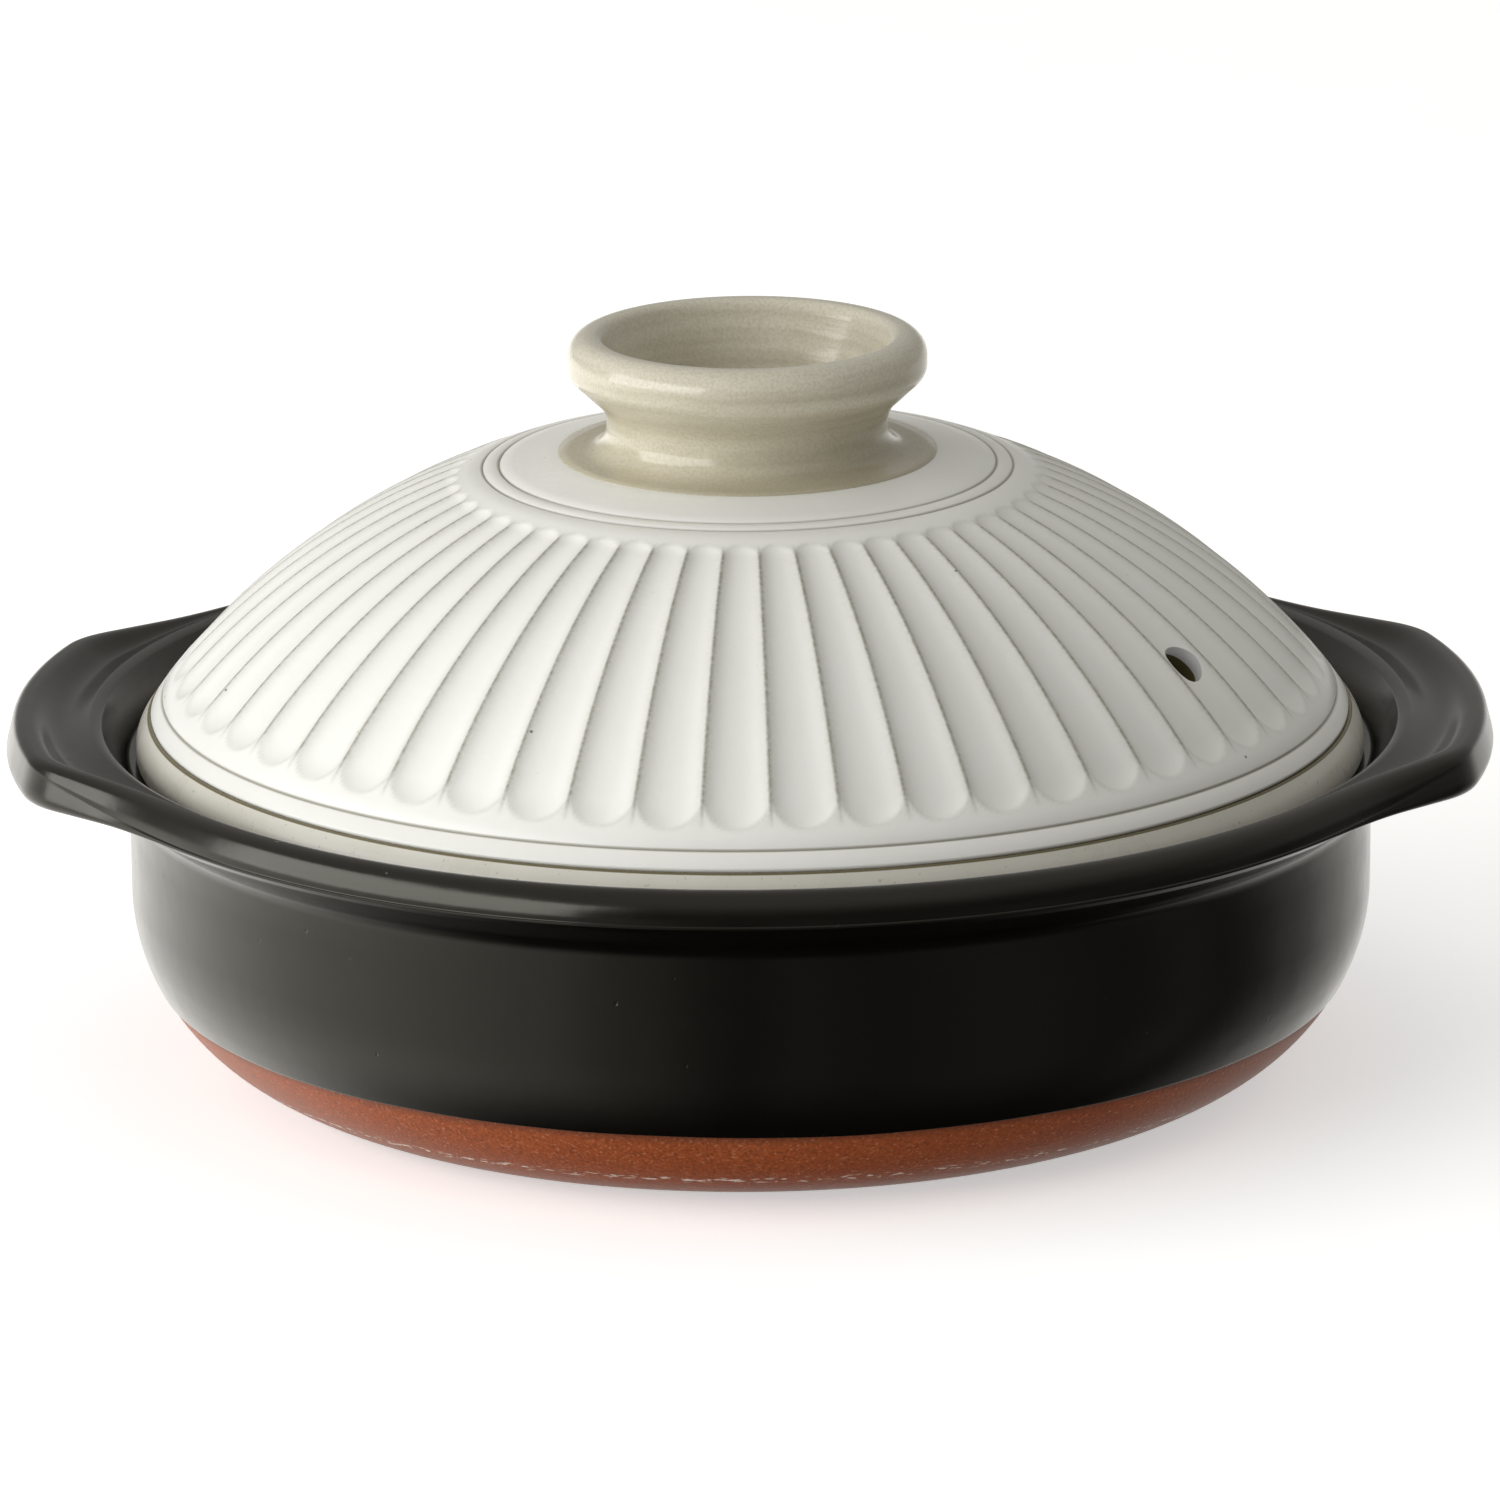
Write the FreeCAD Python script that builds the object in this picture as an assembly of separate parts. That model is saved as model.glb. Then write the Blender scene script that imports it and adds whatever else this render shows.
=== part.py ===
import FreeCAD, Part
import math
import os

# A donabe: a broad stoneware pot with two lugs on its rim, and a fluted lid with a ring knob.
# Millimetres. The origin is the middle of the base, +Z is up and the lugs lie along X.

# Pot: a flat base, a round heel and an upright wall.
WALL_RADIUS = 127.0
WALL_THICKNESS = 7.5
FLOOR_THICKNESS = 9.0
HEEL_ROUNDING = 38.5
SEAT_HEIGHT = 65.0

# Rim: it flares out from the wall, and inside it a gallery holds the lid on a level seat.
SEAT_WIDTH = 7.7
RIM_RISE = 9.5
CREST_SETBACK = 3.7
CREST_BULGE = 0.4
LIP_WIDTH = 7.9
LIP_DEPTH = 7.1
LIP_BULGE = 1.9
LIP_UNDERCUT = 0.8
GALLERY_DROP = 0.7
GALLERY_SLOPE = 4.1
FLARE_DEPTH = 7.6
FLARE_ROUNDING = 5.0
EDGE_ROUNDING = 1.5

# Lugs: a slab with a blunt tip and slanted sides, dished along the rim.
LUG_REACH = 13.3
LUG_TIP_HALF_ANGLE = 17.5
LUG_ROOT_HALF_ANGLE = 30.5
LUG_CORNER_ROUNDING = 25.0
LUG_THICKNESS = 9.5
LUG_RISE = 1.0
LUG_ROUNDING = 2.4
DISH_DEPTH = 2.5
DISH_WIDTH = 12.4
DISH_SETBACK = 12.5

# Lid: a skirt that drops into the gallery, a fluted dome and a low crown round the knob.
LID_PLAY = 1.6
LID_THICKNESS = 6.5
LID_FOOT_WIDTH = 9.5
LID_FOOT_ROUNDING = 2.0
SKIRT_HEIGHT = 5.0
SKIRT_ROUNDING = 9.0
SHOULDER_SETBACK = 5.5
SHOULDER_RISE = 7.8
DOME_HEIGHT = 46.6
DOME_BULGE = 5.7
CROWN_WIDTH = 15.5
CROWN_RISE = 3.0

# Flutes: side by side down the dome, each with round ends, and a narrow ridge between two.
FLUTE_COUNT = 54
FLUTE_TOP_MARGIN = 8.0
FLUTE_BOTTOM_MARGIN = 6.9
FLUTE_DEPTH_SHARE = 0.11
RIDGE_SHARE = 0.07
FIRST_FLUTE_ANGLE = -91.33

# Turned grooves: a pair below the flutes and a pair on the crown.
GROOVE_RADIUS = 0.7
SHOULDER_GROOVE_DROP = 2.8
CROWN_GROOVE_SPACING = 3.4

# Steam hole: through the middle of one flute, square to the dome.
STEAM_HOLE_DIAMETER = 9.0
STEAM_HOLE_MARGIN = 18.3
STEAM_HOLE_FLUTE = 9

# Knob: a hollow ring on the crown, with a swept foot, a waist and a rolled lip.
KNOB_WAIST_RADIUS = 28.6
KNOB_WALL = 7.1
KNOB_FOOT_REACH = 9.9
KNOB_FOOT_EDGE = 0.4
KNOB_FOOT_SWEEP = 5.0
KNOB_WAIST_HEIGHT = 9.0
KNOB_WAIST_ROUNDING = 6.5
KNOB_FLARE_HEIGHT = 7.4
KNOB_LIP_REACH = 8.0
KNOB_LIP_HEIGHT = 8.2
KNOB_LIP_WIDTH = 6.8
KNOB_LIP_UNDER_ROUNDING = 4.0
KNOB_LIP_ROUNDING = 4.6
KNOB_MOUTH_ROUNDING = 2.6
KNOB_HOLLOW_ROUNDING = 8.0

# Sizes that follow from those above.
BORE_RADIUS = WALL_RADIUS - WALL_THICKNESS
GALLERY_RADIUS = BORE_RADIUS + SEAT_WIDTH
LIP_INNER_RADIUS = GALLERY_RADIUS + GALLERY_SLOPE
RIM_RADIUS = LIP_INNER_RADIUS + LIP_WIDTH
RIM_HEIGHT = SEAT_HEIGHT + RIM_RISE
CREST_RADIUS = RIM_RADIUS - CREST_SETBACK
LIP_BOTTOM = RIM_HEIGHT - LIP_DEPTH
LUG_TOP = RIM_HEIGHT + LUG_RISE
LUG_TIP = RIM_RADIUS + LUG_REACH
KNOB_FOOT_RADIUS = KNOB_WAIST_RADIUS + KNOB_FOOT_REACH
KNOB_LIP_RADIUS = KNOB_WAIST_RADIUS + KNOB_LIP_REACH
KNOB_MOUTH_RADIUS = KNOB_LIP_RADIUS - KNOB_LIP_WIDTH
KNOB_HOLLOW_RADIUS = KNOB_WAIST_RADIUS - KNOB_WALL
LID_RADIUS = GALLERY_RADIUS - LID_PLAY
SKIRT_TOP = SEAT_HEIGHT + SKIRT_HEIGHT
SHOULDER_RADIUS = LID_RADIUS - SHOULDER_SETBACK
SHOULDER_Z = SKIRT_TOP + SHOULDER_RISE
CROWN_RADIUS = KNOB_FOOT_RADIUS + CROWN_WIDTH
CROWN_EDGE_Z = SHOULDER_Z + DOME_HEIGHT
CROWN_Z = CROWN_EDGE_Z + CROWN_RISE
FLUTE_PITCH = 360.0 / FLUTE_COUNT
FLUTE_TOP_RADIUS = CROWN_RADIUS + FLUTE_TOP_MARGIN
FLUTE_BOTTOM_RADIUS = SHOULDER_RADIUS - FLUTE_BOTTOM_MARGIN
STEAM_HOLE_PLACE_RADIUS = SHOULDER_RADIUS - STEAM_HOLE_MARGIN

AXIS_POINT = FreeCAD.Vector(0, 0, 0)
UP = FreeCAD.Vector(0, 0, 1)
SIDEWAYS = FreeCAD.Vector(0, 1, 0)
LOFT_STATIONS = 5
CUTTER_RISE_SHARE = 0.15
ROUNDED_SHARE = 0.98
FILLET_SHARE = 0.45
UPRIGHT = 0.5
LUG_SIDE_EXTENT = 2.0


def at(radius, z):
    return FreeCAD.Vector(radius, 0, z)


def bulge_point(start, end, bulge):
    """The middle of an arc that stands off its chord, to the right of the way from start to end."""
    along = end - start
    along.normalize()
    return (start + end) * 0.5 + FreeCAD.Vector(along.z, 0, -along.x) * bulge


def corner_halves(points):
    """Half the angle between the two legs at each corner of a closed outline."""
    count = len(points)
    halves = []
    for index, corner in enumerate(points):
        before = points[index - 1] - corner
        after = points[(index + 1) % count] - corner
        halves.append(before.getAngle(after) / 2)
    return halves


def corner_legs(vertices, points, halves):
    """How far each rounding reaches along its legs, shared out where two meet on a short leg."""
    count = len(points)
    legs = []
    for vertex, half in zip(vertices, halves):
        legs.append(vertex[2] / math.tan(half))
    room = []
    for index in range(count):
        following = (index + 1) % count
        needed = legs[index] + legs[following]
        length = (points[following] - points[index]).Length
        room.append(min(1.0, ROUNDED_SHARE * length / needed) if needed else 1.0)
    return [leg * min(room[index - 1], room[index]) for index, leg in enumerate(legs)]


def section(vertices):
    """A face from corners (radius, z, rounding, bulge), where a bulge bends the next side."""
    vertices = [tuple(vertex) + (0,) * (4 - len(vertex)) for vertex in vertices]
    points = [at(vertex[0], vertex[1]) for vertex in vertices]
    halves = corner_halves(points)
    legs = corner_legs(vertices, points, halves)
    count = len(points)
    arrivals = []
    departures = []
    edges = []
    for index, corner in enumerate(points):
        before = points[index - 1] - corner
        after = points[(index + 1) % count] - corner
        before.normalize()
        after.normalize()
        arrivals.append(corner + before * legs[index])
        departures.append(corner + after * legs[index])
        if legs[index]:
            inward = before + after
            inward.normalize()
            radius = legs[index] * math.tan(halves[index])
            middle = corner + inward * (radius / math.sin(halves[index]) - radius)
            edges.append(Part.Arc(arrivals[index], middle, departures[index]).toShape())
    for index, vertex in enumerate(vertices):
        start = departures[index]
        end = arrivals[(index + 1) % count]
        if vertex[3]:
            edges.append(Part.Arc(start, bulge_point(start, end, vertex[3]), end).toShape())
        else:
            edges.append(Part.LineSegment(start, end).toShape())
    return Part.Face(Part.Wire(Part.__sortEdges__(edges)))


def turned(vertices):
    return section(vertices).revolve(AXIS_POINT, UP, 360)


def turned_point(radius, angle):
    """A point at a radius from the axis, at an angle from the right lug."""
    turn = math.radians(angle)
    return FreeCAD.Vector(radius * math.cos(turn), radius * math.sin(turn), 0)


def turned_about_z(shape, angle):
    return shape.rotated(AXIS_POINT, UP, angle)


def pot_outside():
    """The pot's outer face, from the middle of the base up to the crest of the rim."""
    return [
        (0, 0),
        (WALL_RADIUS, 0, HEEL_ROUNDING),
        (WALL_RADIUS, LIP_BOTTOM - FLARE_DEPTH, FLARE_ROUNDING),
        (RIM_RADIUS - LIP_UNDERCUT, LIP_BOTTOM, 0, LIP_BULGE),
    ]


def make_bowl():
    inside = [
        (CREST_RADIUS, RIM_HEIGHT, 0, CREST_BULGE),
        (LIP_INNER_RADIUS, RIM_HEIGHT - GALLERY_DROP),
        (GALLERY_RADIUS, SEAT_HEIGHT, EDGE_ROUNDING),
        (BORE_RADIUS, SEAT_HEIGHT, EDGE_ROUNDING),
        (BORE_RADIUS, FLOOR_THICKNESS, HEEL_ROUNDING - WALL_THICKNESS),
        (0, FLOOR_THICKNESS),
    ]
    return turned(pot_outside() + inside)


def pot_envelope():
    """All that lies inside the pot's outer face, and the air above the rim inside its crest."""
    clear_of_lug = LUG_TOP + LUG_THICKNESS
    return turned(pot_outside() + [
        (CREST_RADIUS, RIM_HEIGHT),
        (CREST_RADIUS, clear_of_lug),
        (0, clear_of_lug),
    ])


def lug_dish():
    """The ring that hollows the lug's top between the rim and the lug's outer edge."""
    half_width = DISH_WIDTH / 2
    ring_radius = (half_width ** 2 + DISH_DEPTH ** 2) / (2 * DISH_DEPTH)
    centre = at(0, LUG_TOP - DISH_DEPTH + ring_radius)
    return Part.makeTorus(LUG_TIP - DISH_SETBACK, ring_radius, centre, UP)


def lug_side():
    """One slanted side of the lug in plan: a point at the tip, and one inside the rim."""
    tip = turned_point(LUG_TIP, LUG_TIP_HALF_ANGLE)
    root = turned_point(RIM_RADIUS, LUG_ROOT_HALF_ANGLE)
    return tip, tip + (root - tip) * LUG_SIDE_EXTENT


def lug_corner():
    """Centre of the rounding between tip and side, and the directions of both from it."""
    tip, inner = lug_side()
    along = inner - tip
    square = FreeCAD.Vector(along.y, -along.x, 0)
    square.normalize()
    side_direction = math.atan2(square.y, square.x)
    centre_radius = LUG_TIP - LUG_CORNER_ROUNDING
    side_distance = tip.dot(square) - LUG_CORNER_ROUNDING
    tip_direction = side_direction - math.acos(side_distance / centre_radius)
    centre = turned_point(centre_radius, math.degrees(tip_direction))
    return centre, math.degrees(tip_direction), math.degrees(side_direction)


def mirrored(point):
    return FreeCAD.Vector(point.x, -point.y, point.z)


def lug_plan():
    """The lug's outline: a tip that runs along the rim, rounded corners and slanted sides."""
    centre, tip_direction, side_direction = lug_corner()
    middle_direction = (tip_direction + side_direction) / 2
    corner = [
        centre + turned_point(LUG_CORNER_ROUNDING, direction)
        for direction in (tip_direction, middle_direction, side_direction)
    ]
    inner = lug_side()[1]
    start, middle, end = corner
    edges = [
        Part.Arc(mirrored(start), turned_point(LUG_TIP, 0), start).toShape(),
        Part.Arc(start, middle, end).toShape(),
        Part.LineSegment(end, inner).toShape(),
        Part.LineSegment(inner, mirrored(inner)).toShape(),
        Part.LineSegment(mirrored(inner), mirrored(end)).toShape(),
        Part.Arc(mirrored(end), mirrored(middle), mirrored(start)).toShape(),
    ]
    return Part.Face(Part.Wire(edges))


def make_right_lug():
    slab = lug_plan().extrude(UP * LUG_THICKNESS)
    slab.translate(UP * (LUG_TOP - LUG_THICKNESS))
    inside = lug_side()[1].x + LUG_ROUNDING
    rims = [edge for edge in slab.Edges if edge.BoundBox.ZLength < LUG_ROUNDING and edge.BoundBox.XMax > inside]
    slab = slab.makeFillet(min(LUG_ROUNDING, LUG_THICKNESS * FILLET_SHARE), rims)
    return slab.cut(lug_dish()).cut(pot_envelope())


def make_left_lug(right_lug):
    return turned_about_z(right_lug, 180)


def dome_circle():
    start = at(SHOULDER_RADIUS, SHOULDER_Z)
    end = at(CROWN_RADIUS, CROWN_EDGE_Z)
    return Part.Arc(start, bulge_point(start, end, DOME_BULGE), end).toShape().Curve


def dome_point(radius):
    """The dome's point at a radius, and the direction square to the dome there."""
    circle = dome_circle()
    across = radius - circle.Center.x
    point = at(radius, circle.Center.z + math.sqrt(circle.Radius ** 2 - across ** 2))
    outward = point - circle.Center
    outward.normalize()
    return point, outward


def flute_cut(radius):
    """Depth of a flute at a radius, radius of its hollow, and how far its cutter stands out."""
    width = 2 * math.pi * radius / FLUTE_COUNT * (1 - RIDGE_SHARE)
    depth = width * FLUTE_DEPTH_SHARE
    hollow_radius = (width ** 2 / 4 + depth ** 2) / (2 * depth)
    return depth, hollow_radius, depth * CUTTER_RISE_SHARE


def flute_corners(radius):
    """The lowest point of a flute at a radius, the middle of its cutter's top, and half its width."""
    point, outward = dome_point(radius)
    depth, hollow_radius, rise = flute_cut(radius)
    half_width = math.sqrt(hollow_radius ** 2 - (hollow_radius - depth - rise) ** 2)
    return point - outward * depth, point + outward * rise, FreeCAD.Vector(0, half_width, 0)


def flute_section(radius):
    """The lens that a flute takes from the dome at a radius."""
    lowest, top, side = flute_corners(radius)
    hollow = Part.Arc(top - side, lowest, top + side).toShape()
    return Part.Wire([hollow, Part.LineSegment(top + side, top - side).toShape()])


def flute_end(radius, turn):
    """The round end of a flute: half the lens, swung about the line square to the dome."""
    lowest, top, side = flute_corners(radius)
    circle = Part.Arc(top - side, lowest, top + side)
    start, end = circle.parameter(lowest), circle.parameter(top + side)
    half = Part.Wire([
        circle.toShape().Curve.toShape(start, end),
        Part.LineSegment(top + side, top).toShape(),
        Part.LineSegment(top, lowest).toShape(),
    ])
    return Part.Face(half).revolve(lowest, top - lowest, turn)


def flute():
    """One flute: a channel that widens down the dome, with a round end above and below."""
    step = (FLUTE_BOTTOM_RADIUS - FLUTE_TOP_RADIUS) / (LOFT_STATIONS - 1)
    stations = [flute_section(FLUTE_TOP_RADIUS + step * index) for index in range(LOFT_STATIONS)]
    channel = Part.makeLoft(stations, True, False)
    return channel.fuse([flute_end(FLUTE_TOP_RADIUS, 180), flute_end(FLUTE_BOTTOM_RADIUS, -180)])


def low_groove_place():
    """The lower groove of the shoulder, where the white dome ends and the skirt begins."""
    slope = SHOULDER_SETBACK / SHOULDER_RISE
    return SHOULDER_RADIUS + SHOULDER_GROOVE_DROP * slope, SHOULDER_Z - SHOULDER_GROOVE_DROP


def dome_groove_places():
    crown_slope = CROWN_RISE / (CROWN_RADIUS - KNOB_FOOT_RADIUS)
    return [
        low_groove_place(),
        (SHOULDER_RADIUS, SHOULDER_Z),
        (CROWN_RADIUS, CROWN_EDGE_Z),
        (CROWN_RADIUS - CROWN_GROOVE_SPACING, CROWN_EDGE_Z + CROWN_GROOVE_SPACING * crown_slope),
    ]


def grooved(face, places):
    """A section with a round bite out of its edge at each place."""
    bites = [Part.Face(Part.Wire(Part.makeCircle(GROOVE_RADIUS, at(*place), SIDEWAYS))) for place in places]
    return face.cut(bites).Faces[0]


def steam_hole():
    point, outward = dome_point(STEAM_HOLE_PLACE_RADIUS)
    length = 4 * LID_THICKNESS
    hole = Part.makeCylinder(STEAM_HOLE_DIAMETER / 2, length, point - outward * (length / 2), outward)
    return turned_about_z(hole, FIRST_FLUTE_ANGLE + FLUTE_PITCH * STEAM_HOLE_FLUTE)


def inner_dome_point(radius):
    """The dome's inner face, opposite its outer point at a radius."""
    point, outward = dome_point(radius)
    return point - outward * LID_THICKNESS


def dome_section():
    inner_shoulder = inner_dome_point(SHOULDER_RADIUS)
    inner_crown = inner_dome_point(CROWN_RADIUS)
    dome_radius = dome_circle().Radius
    inner_bulge = DOME_BULGE * (dome_radius - LID_THICKNESS) / dome_radius
    return section([
        low_groove_place(),
        (SHOULDER_RADIUS, SHOULDER_Z, 0, DOME_BULGE),
        (CROWN_RADIUS, CROWN_EDGE_Z),
        (KNOB_FOOT_RADIUS, CROWN_Z),
        (0, CROWN_Z),
        (0, CROWN_Z - LID_THICKNESS),
        (KNOB_FOOT_RADIUS, CROWN_Z - LID_THICKNESS),
        (inner_crown.x, inner_crown.z, 0, -inner_bulge),
        (inner_shoulder.x, inner_shoulder.z),
    ])


def is_sector_side(face):
    """True for the two upright faces that a sector shares with its neighbours."""
    return isinstance(face.Surface, Part.Plane) and abs(face.Surface.Axis.z) < UPRIGHT


def make_lid_dome():
    """One sector with one flute is cut, and its skin is repeated round the axis and sewn."""
    outline = grooved(dome_section(), dome_groove_places())
    wedge = turned_about_z(outline, -FLUTE_PITCH / 2).revolve(AXIS_POINT, UP, FLUTE_PITCH)
    sector = wedge.cut(flute())
    skin = [face for face in sector.Faces if not is_sector_side(face)]
    skins = []
    for index in range(FLUTE_COUNT):
        skins += [turned_about_z(face, FIRST_FLUTE_ANGLE + FLUTE_PITCH * index) for face in skin]
    shell = Part.makeShell(skins)
    shell.sewShape()
    return Part.makeSolid(shell).removeSplitter().cut(steam_hole())


def make_lid_skirt():
    """The ring that drops into the gallery: one clay with the dome, but glazed apart from it."""
    inner_shoulder = inner_dome_point(SHOULDER_RADIUS)
    outline = section([
        (LID_RADIUS - LID_FOOT_WIDTH, SEAT_HEIGHT),
        (LID_RADIUS, SEAT_HEIGHT, LID_FOOT_ROUNDING),
        (LID_RADIUS, SKIRT_TOP, SKIRT_ROUNDING),
        low_groove_place(),
        (inner_shoulder.x, inner_shoulder.z),
    ])
    return grooved(outline, [low_groove_place()]).revolve(AXIS_POINT, UP, 360)


def make_lid_knob():
    foot = CROWN_Z + KNOB_FOOT_EDGE
    waist = CROWN_Z + KNOB_WAIST_HEIGHT
    lip = waist + KNOB_FLARE_HEIGHT
    top = lip + KNOB_LIP_HEIGHT
    return turned([
        (KNOB_HOLLOW_RADIUS, CROWN_Z),
        (KNOB_FOOT_RADIUS, CROWN_Z),
        (KNOB_FOOT_RADIUS, foot),
        (KNOB_WAIST_RADIUS, foot, KNOB_FOOT_SWEEP),
        (KNOB_WAIST_RADIUS, waist, KNOB_WAIST_ROUNDING),
        (KNOB_LIP_RADIUS, lip, KNOB_LIP_UNDER_ROUNDING),
        (KNOB_LIP_RADIUS, top, KNOB_LIP_ROUNDING),
        (KNOB_MOUTH_RADIUS, top, KNOB_MOUTH_ROUNDING),
        (KNOB_HOLLOW_RADIUS, waist, KNOB_HOLLOW_ROUNDING),
    ])


def main():
    right_lug = make_right_lug()
    pieces = {
        "bowl": make_bowl(),
        "right_lug": right_lug,
        "left_lug": make_left_lug(right_lug),
        "lid_skirt": make_lid_skirt(),
        "lid_dome": make_lid_dome(),
        "lid_knob": make_lid_knob(),
    }
    os.makedirs("parts", exist_ok=True)
    for name, shape in pieces.items():
        box = shape.BoundBox
        print(name, shape.ShapeType, "solids", len(shape.Solids), "valid", shape.isValid(),
              "volume %.0f" % shape.Volume, "z %.1f to %.1f" % (box.ZMin, box.ZMax))
        shape.exportStep("parts/" + name + ".step")


main()
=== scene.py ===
# %% [markdown]
# # A donabe, dressed piece by piece
# A donabe is a clay pot for cooking at the table: a broad bowl in black glaze, two lugs to lift it by,
# and a fluted white lid with a ring for a knob. Its solids are made already, at their real size, and
# they are the frame of this lesson. Blender gives each of them its final skin and finish, and moves none.

# %% Load the solids
import math

import bpy
import numpy as np
from mathutils import Matrix, Vector


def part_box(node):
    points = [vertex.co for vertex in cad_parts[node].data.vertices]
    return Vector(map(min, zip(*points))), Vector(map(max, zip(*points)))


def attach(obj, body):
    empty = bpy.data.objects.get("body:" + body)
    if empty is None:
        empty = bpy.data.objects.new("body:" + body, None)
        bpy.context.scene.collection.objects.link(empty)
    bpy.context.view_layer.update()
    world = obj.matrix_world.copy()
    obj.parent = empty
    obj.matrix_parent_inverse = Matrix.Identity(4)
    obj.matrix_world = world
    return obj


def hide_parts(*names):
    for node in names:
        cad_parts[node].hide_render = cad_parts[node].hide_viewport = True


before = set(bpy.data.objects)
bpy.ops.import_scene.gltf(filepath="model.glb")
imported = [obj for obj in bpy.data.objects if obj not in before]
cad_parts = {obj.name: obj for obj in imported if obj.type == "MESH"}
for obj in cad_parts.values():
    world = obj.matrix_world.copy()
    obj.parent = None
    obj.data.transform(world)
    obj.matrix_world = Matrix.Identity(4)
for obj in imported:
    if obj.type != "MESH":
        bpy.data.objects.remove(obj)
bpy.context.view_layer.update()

# %% [markdown]
# ## Sizes
# Every size is in millimetres, and is turned to metres where a mesh is made. The main ones are read
# from the solids, so that a skin always fits its solid. Radii are measured from the upright axis
# through the knob, and heights from the surface that the pot stands on.

# %% Sizes read from the solids
MM = 0.001


def corners_of(node):
    low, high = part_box(node)
    return low / MM, high / MM


rim = corners_of("bowl")[1]
lug_low, lug_high = corners_of("right_lug")
skirt_low, skirt_high = corners_of("lid_skirt")
knob_low, knob_high = corners_of("lid_knob")
LID_SEAT = skirt_low.z
LID_RADIUS = skirt_high.x
CROWN = knob_low.z
print("rim %.1f lug tip %.1f seat %.1f crown %.1f knob top %.1f"
      % (rim.y, lug_high.x, LID_SEAT, CROWN, knob_high.z))

# %% [markdown]
# ## Outlines
# A potter's wheel turns a flat outline into a round wall, and so does this lesson. An outline is a
# list of (radius, height) points. Corners are rounded with true arcs, because light catches an edge
# by its rounding. These small functions round a corner, space points evenly and fill in long runs.

# %% Tools for outlines
def unit(vector):
    return vector / np.linalg.norm(vector)


def corner_arc(before, corner, after, rounding, count):
    """Points that round a corner between two straight runs."""
    before, corner, after = (np.array(point, float) for point in (before, corner, after))
    back = unit(before - corner)
    onward = unit(after - corner)
    half = math.acos(np.clip(back @ onward, -1, 1)) / 2
    centre = corner + unit(back + onward) * rounding / math.sin(half)
    start = corner + back * rounding / math.tan(half) - centre
    end = corner + onward * rounding / math.tan(half) - centre
    sweep = math.pi - 2 * half
    shares = np.linspace(0, 1, count)[:, None]
    return centre + (np.sin((1 - shares) * sweep) * start + np.sin(shares * sweep) * end) / math.sin(sweep)


def rounded(corners, count):
    """An outline from corners (radius, height), where a third number rounds that corner."""
    runs = []
    for index, corner in enumerate(corners):
        if len(corner) == 2:
            runs.append(np.array([corner], float))
        else:
            before, after = corners[index - 1][:2], corners[index + 1][:2]
            runs.append(corner_arc(before, corner[:2], after, corner[2], count))
    return np.concatenate(runs)


def travelled(points):
    """How far along an outline each of its points lies."""
    steps = np.linalg.norm(np.diff(points, axis=0), axis=1)
    return np.concatenate([[0], np.cumsum(steps)])


def along(points, places):
    """Points of an outline at given distances from its start."""
    points = np.array(points, float)
    way = travelled(points)
    return np.stack([np.interp(places, way, points[:, axis]) for axis in (0, 1)], axis=1)


def evenly(points, count):
    points = np.array(points, float)
    return along(points, np.linspace(0, travelled(points)[-1], count))


def filled(points, gap):
    """The same outline with more points, so that no step is longer than the gap."""
    rows = [points[:1]]
    for start, end in zip(points, points[1:]):
        count = max(1, math.ceil(np.linalg.norm(end - start) / gap))
        rows.append(start + (end - start) * np.linspace(0, 1, count + 1)[1:, None])
    return np.concatenate(rows)


def about(centre, radius, degrees):
    """Points about a centre, where 0 degrees points down and 90 points outwards."""
    turns = np.radians(degrees)
    return np.stack([centre[0] + radius * np.sin(turns), centre[1] - radius * np.cos(turns)], axis=1)


# %% [markdown]
# ## From outline to mesh
# A turned piece has one section for each angle round the axis, so a section may change on its way
# round, as it does where a lug grows out of the rim. The first and the last point of a section lie on
# the axis, where all sections share one vertex: the mesh is closed and its faces point outwards.

# %% Tools for meshes
def new_piece(name, vertices, faces):
    mesh = bpy.data.meshes.new(name)
    mesh.from_pydata(vertices, [], faces)
    mesh.shade_smooth()
    piece = bpy.data.objects.new(name, mesh)
    bpy.context.scene.collection.objects.link(piece)
    return piece


def angles_round(columns):
    return np.arange(columns) * 2 * math.pi / columns


def swung(points, angles):
    """Points in space from points (radius, height), swung round the axis by their column's angle."""
    radius, height = points[..., 0], points[..., 1]
    return np.stack([radius * np.cos(angles), radius * np.sin(angles), height], axis=-1)


def faces_between(columns, rows, closed):
    """Faces between columns of points side by side, with a fan to a shared point at either end."""
    first_end = columns * rows
    faces = []
    for column in range(columns if closed else columns - 1):
        here = column * rows
        beside = (column + 1) % columns * rows
        faces.append((first_end, beside, here))
        faces.append((here + rows - 1, beside + rows - 1, first_end + 1))
        for row in range(rows - 1):
            faces.append((here + row, beside + row, beside + row + 1, here + row + 1))
    return faces


def turned(name, sections):
    """A closed mesh from an array of sections: angle by angle, point by point, (radius, height)."""
    columns, rows = sections.shape[:2]
    rings = swung(sections[:, 1:-1], angles_round(columns)[:, None])
    ends = [(0, 0, sections[0, 0, 1]), (0, 0, sections[0, -1, 1])]
    vertices = np.concatenate([rings.reshape(-1, 3), ends]) * MM
    return new_piece(name, vertices.tolist(), faces_between(columns, rows - 2, closed=True))


def same_all_round(outline, columns):
    return np.repeat(outline[None], columns, axis=0)


def evaluated_mesh(piece):
    """A plain mesh of a piece with its modifiers worked out."""
    bpy.context.view_layer.update()
    return bpy.data.meshes.new_from_object(piece.evaluated_get(bpy.context.evaluated_depsgraph_get()))


def report(piece):
    piece.data.calc_loop_triangles()
    print(piece.name, len(piece.data.vertices), "vertices", len(piece.data.loop_triangles), "triangles")


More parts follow.
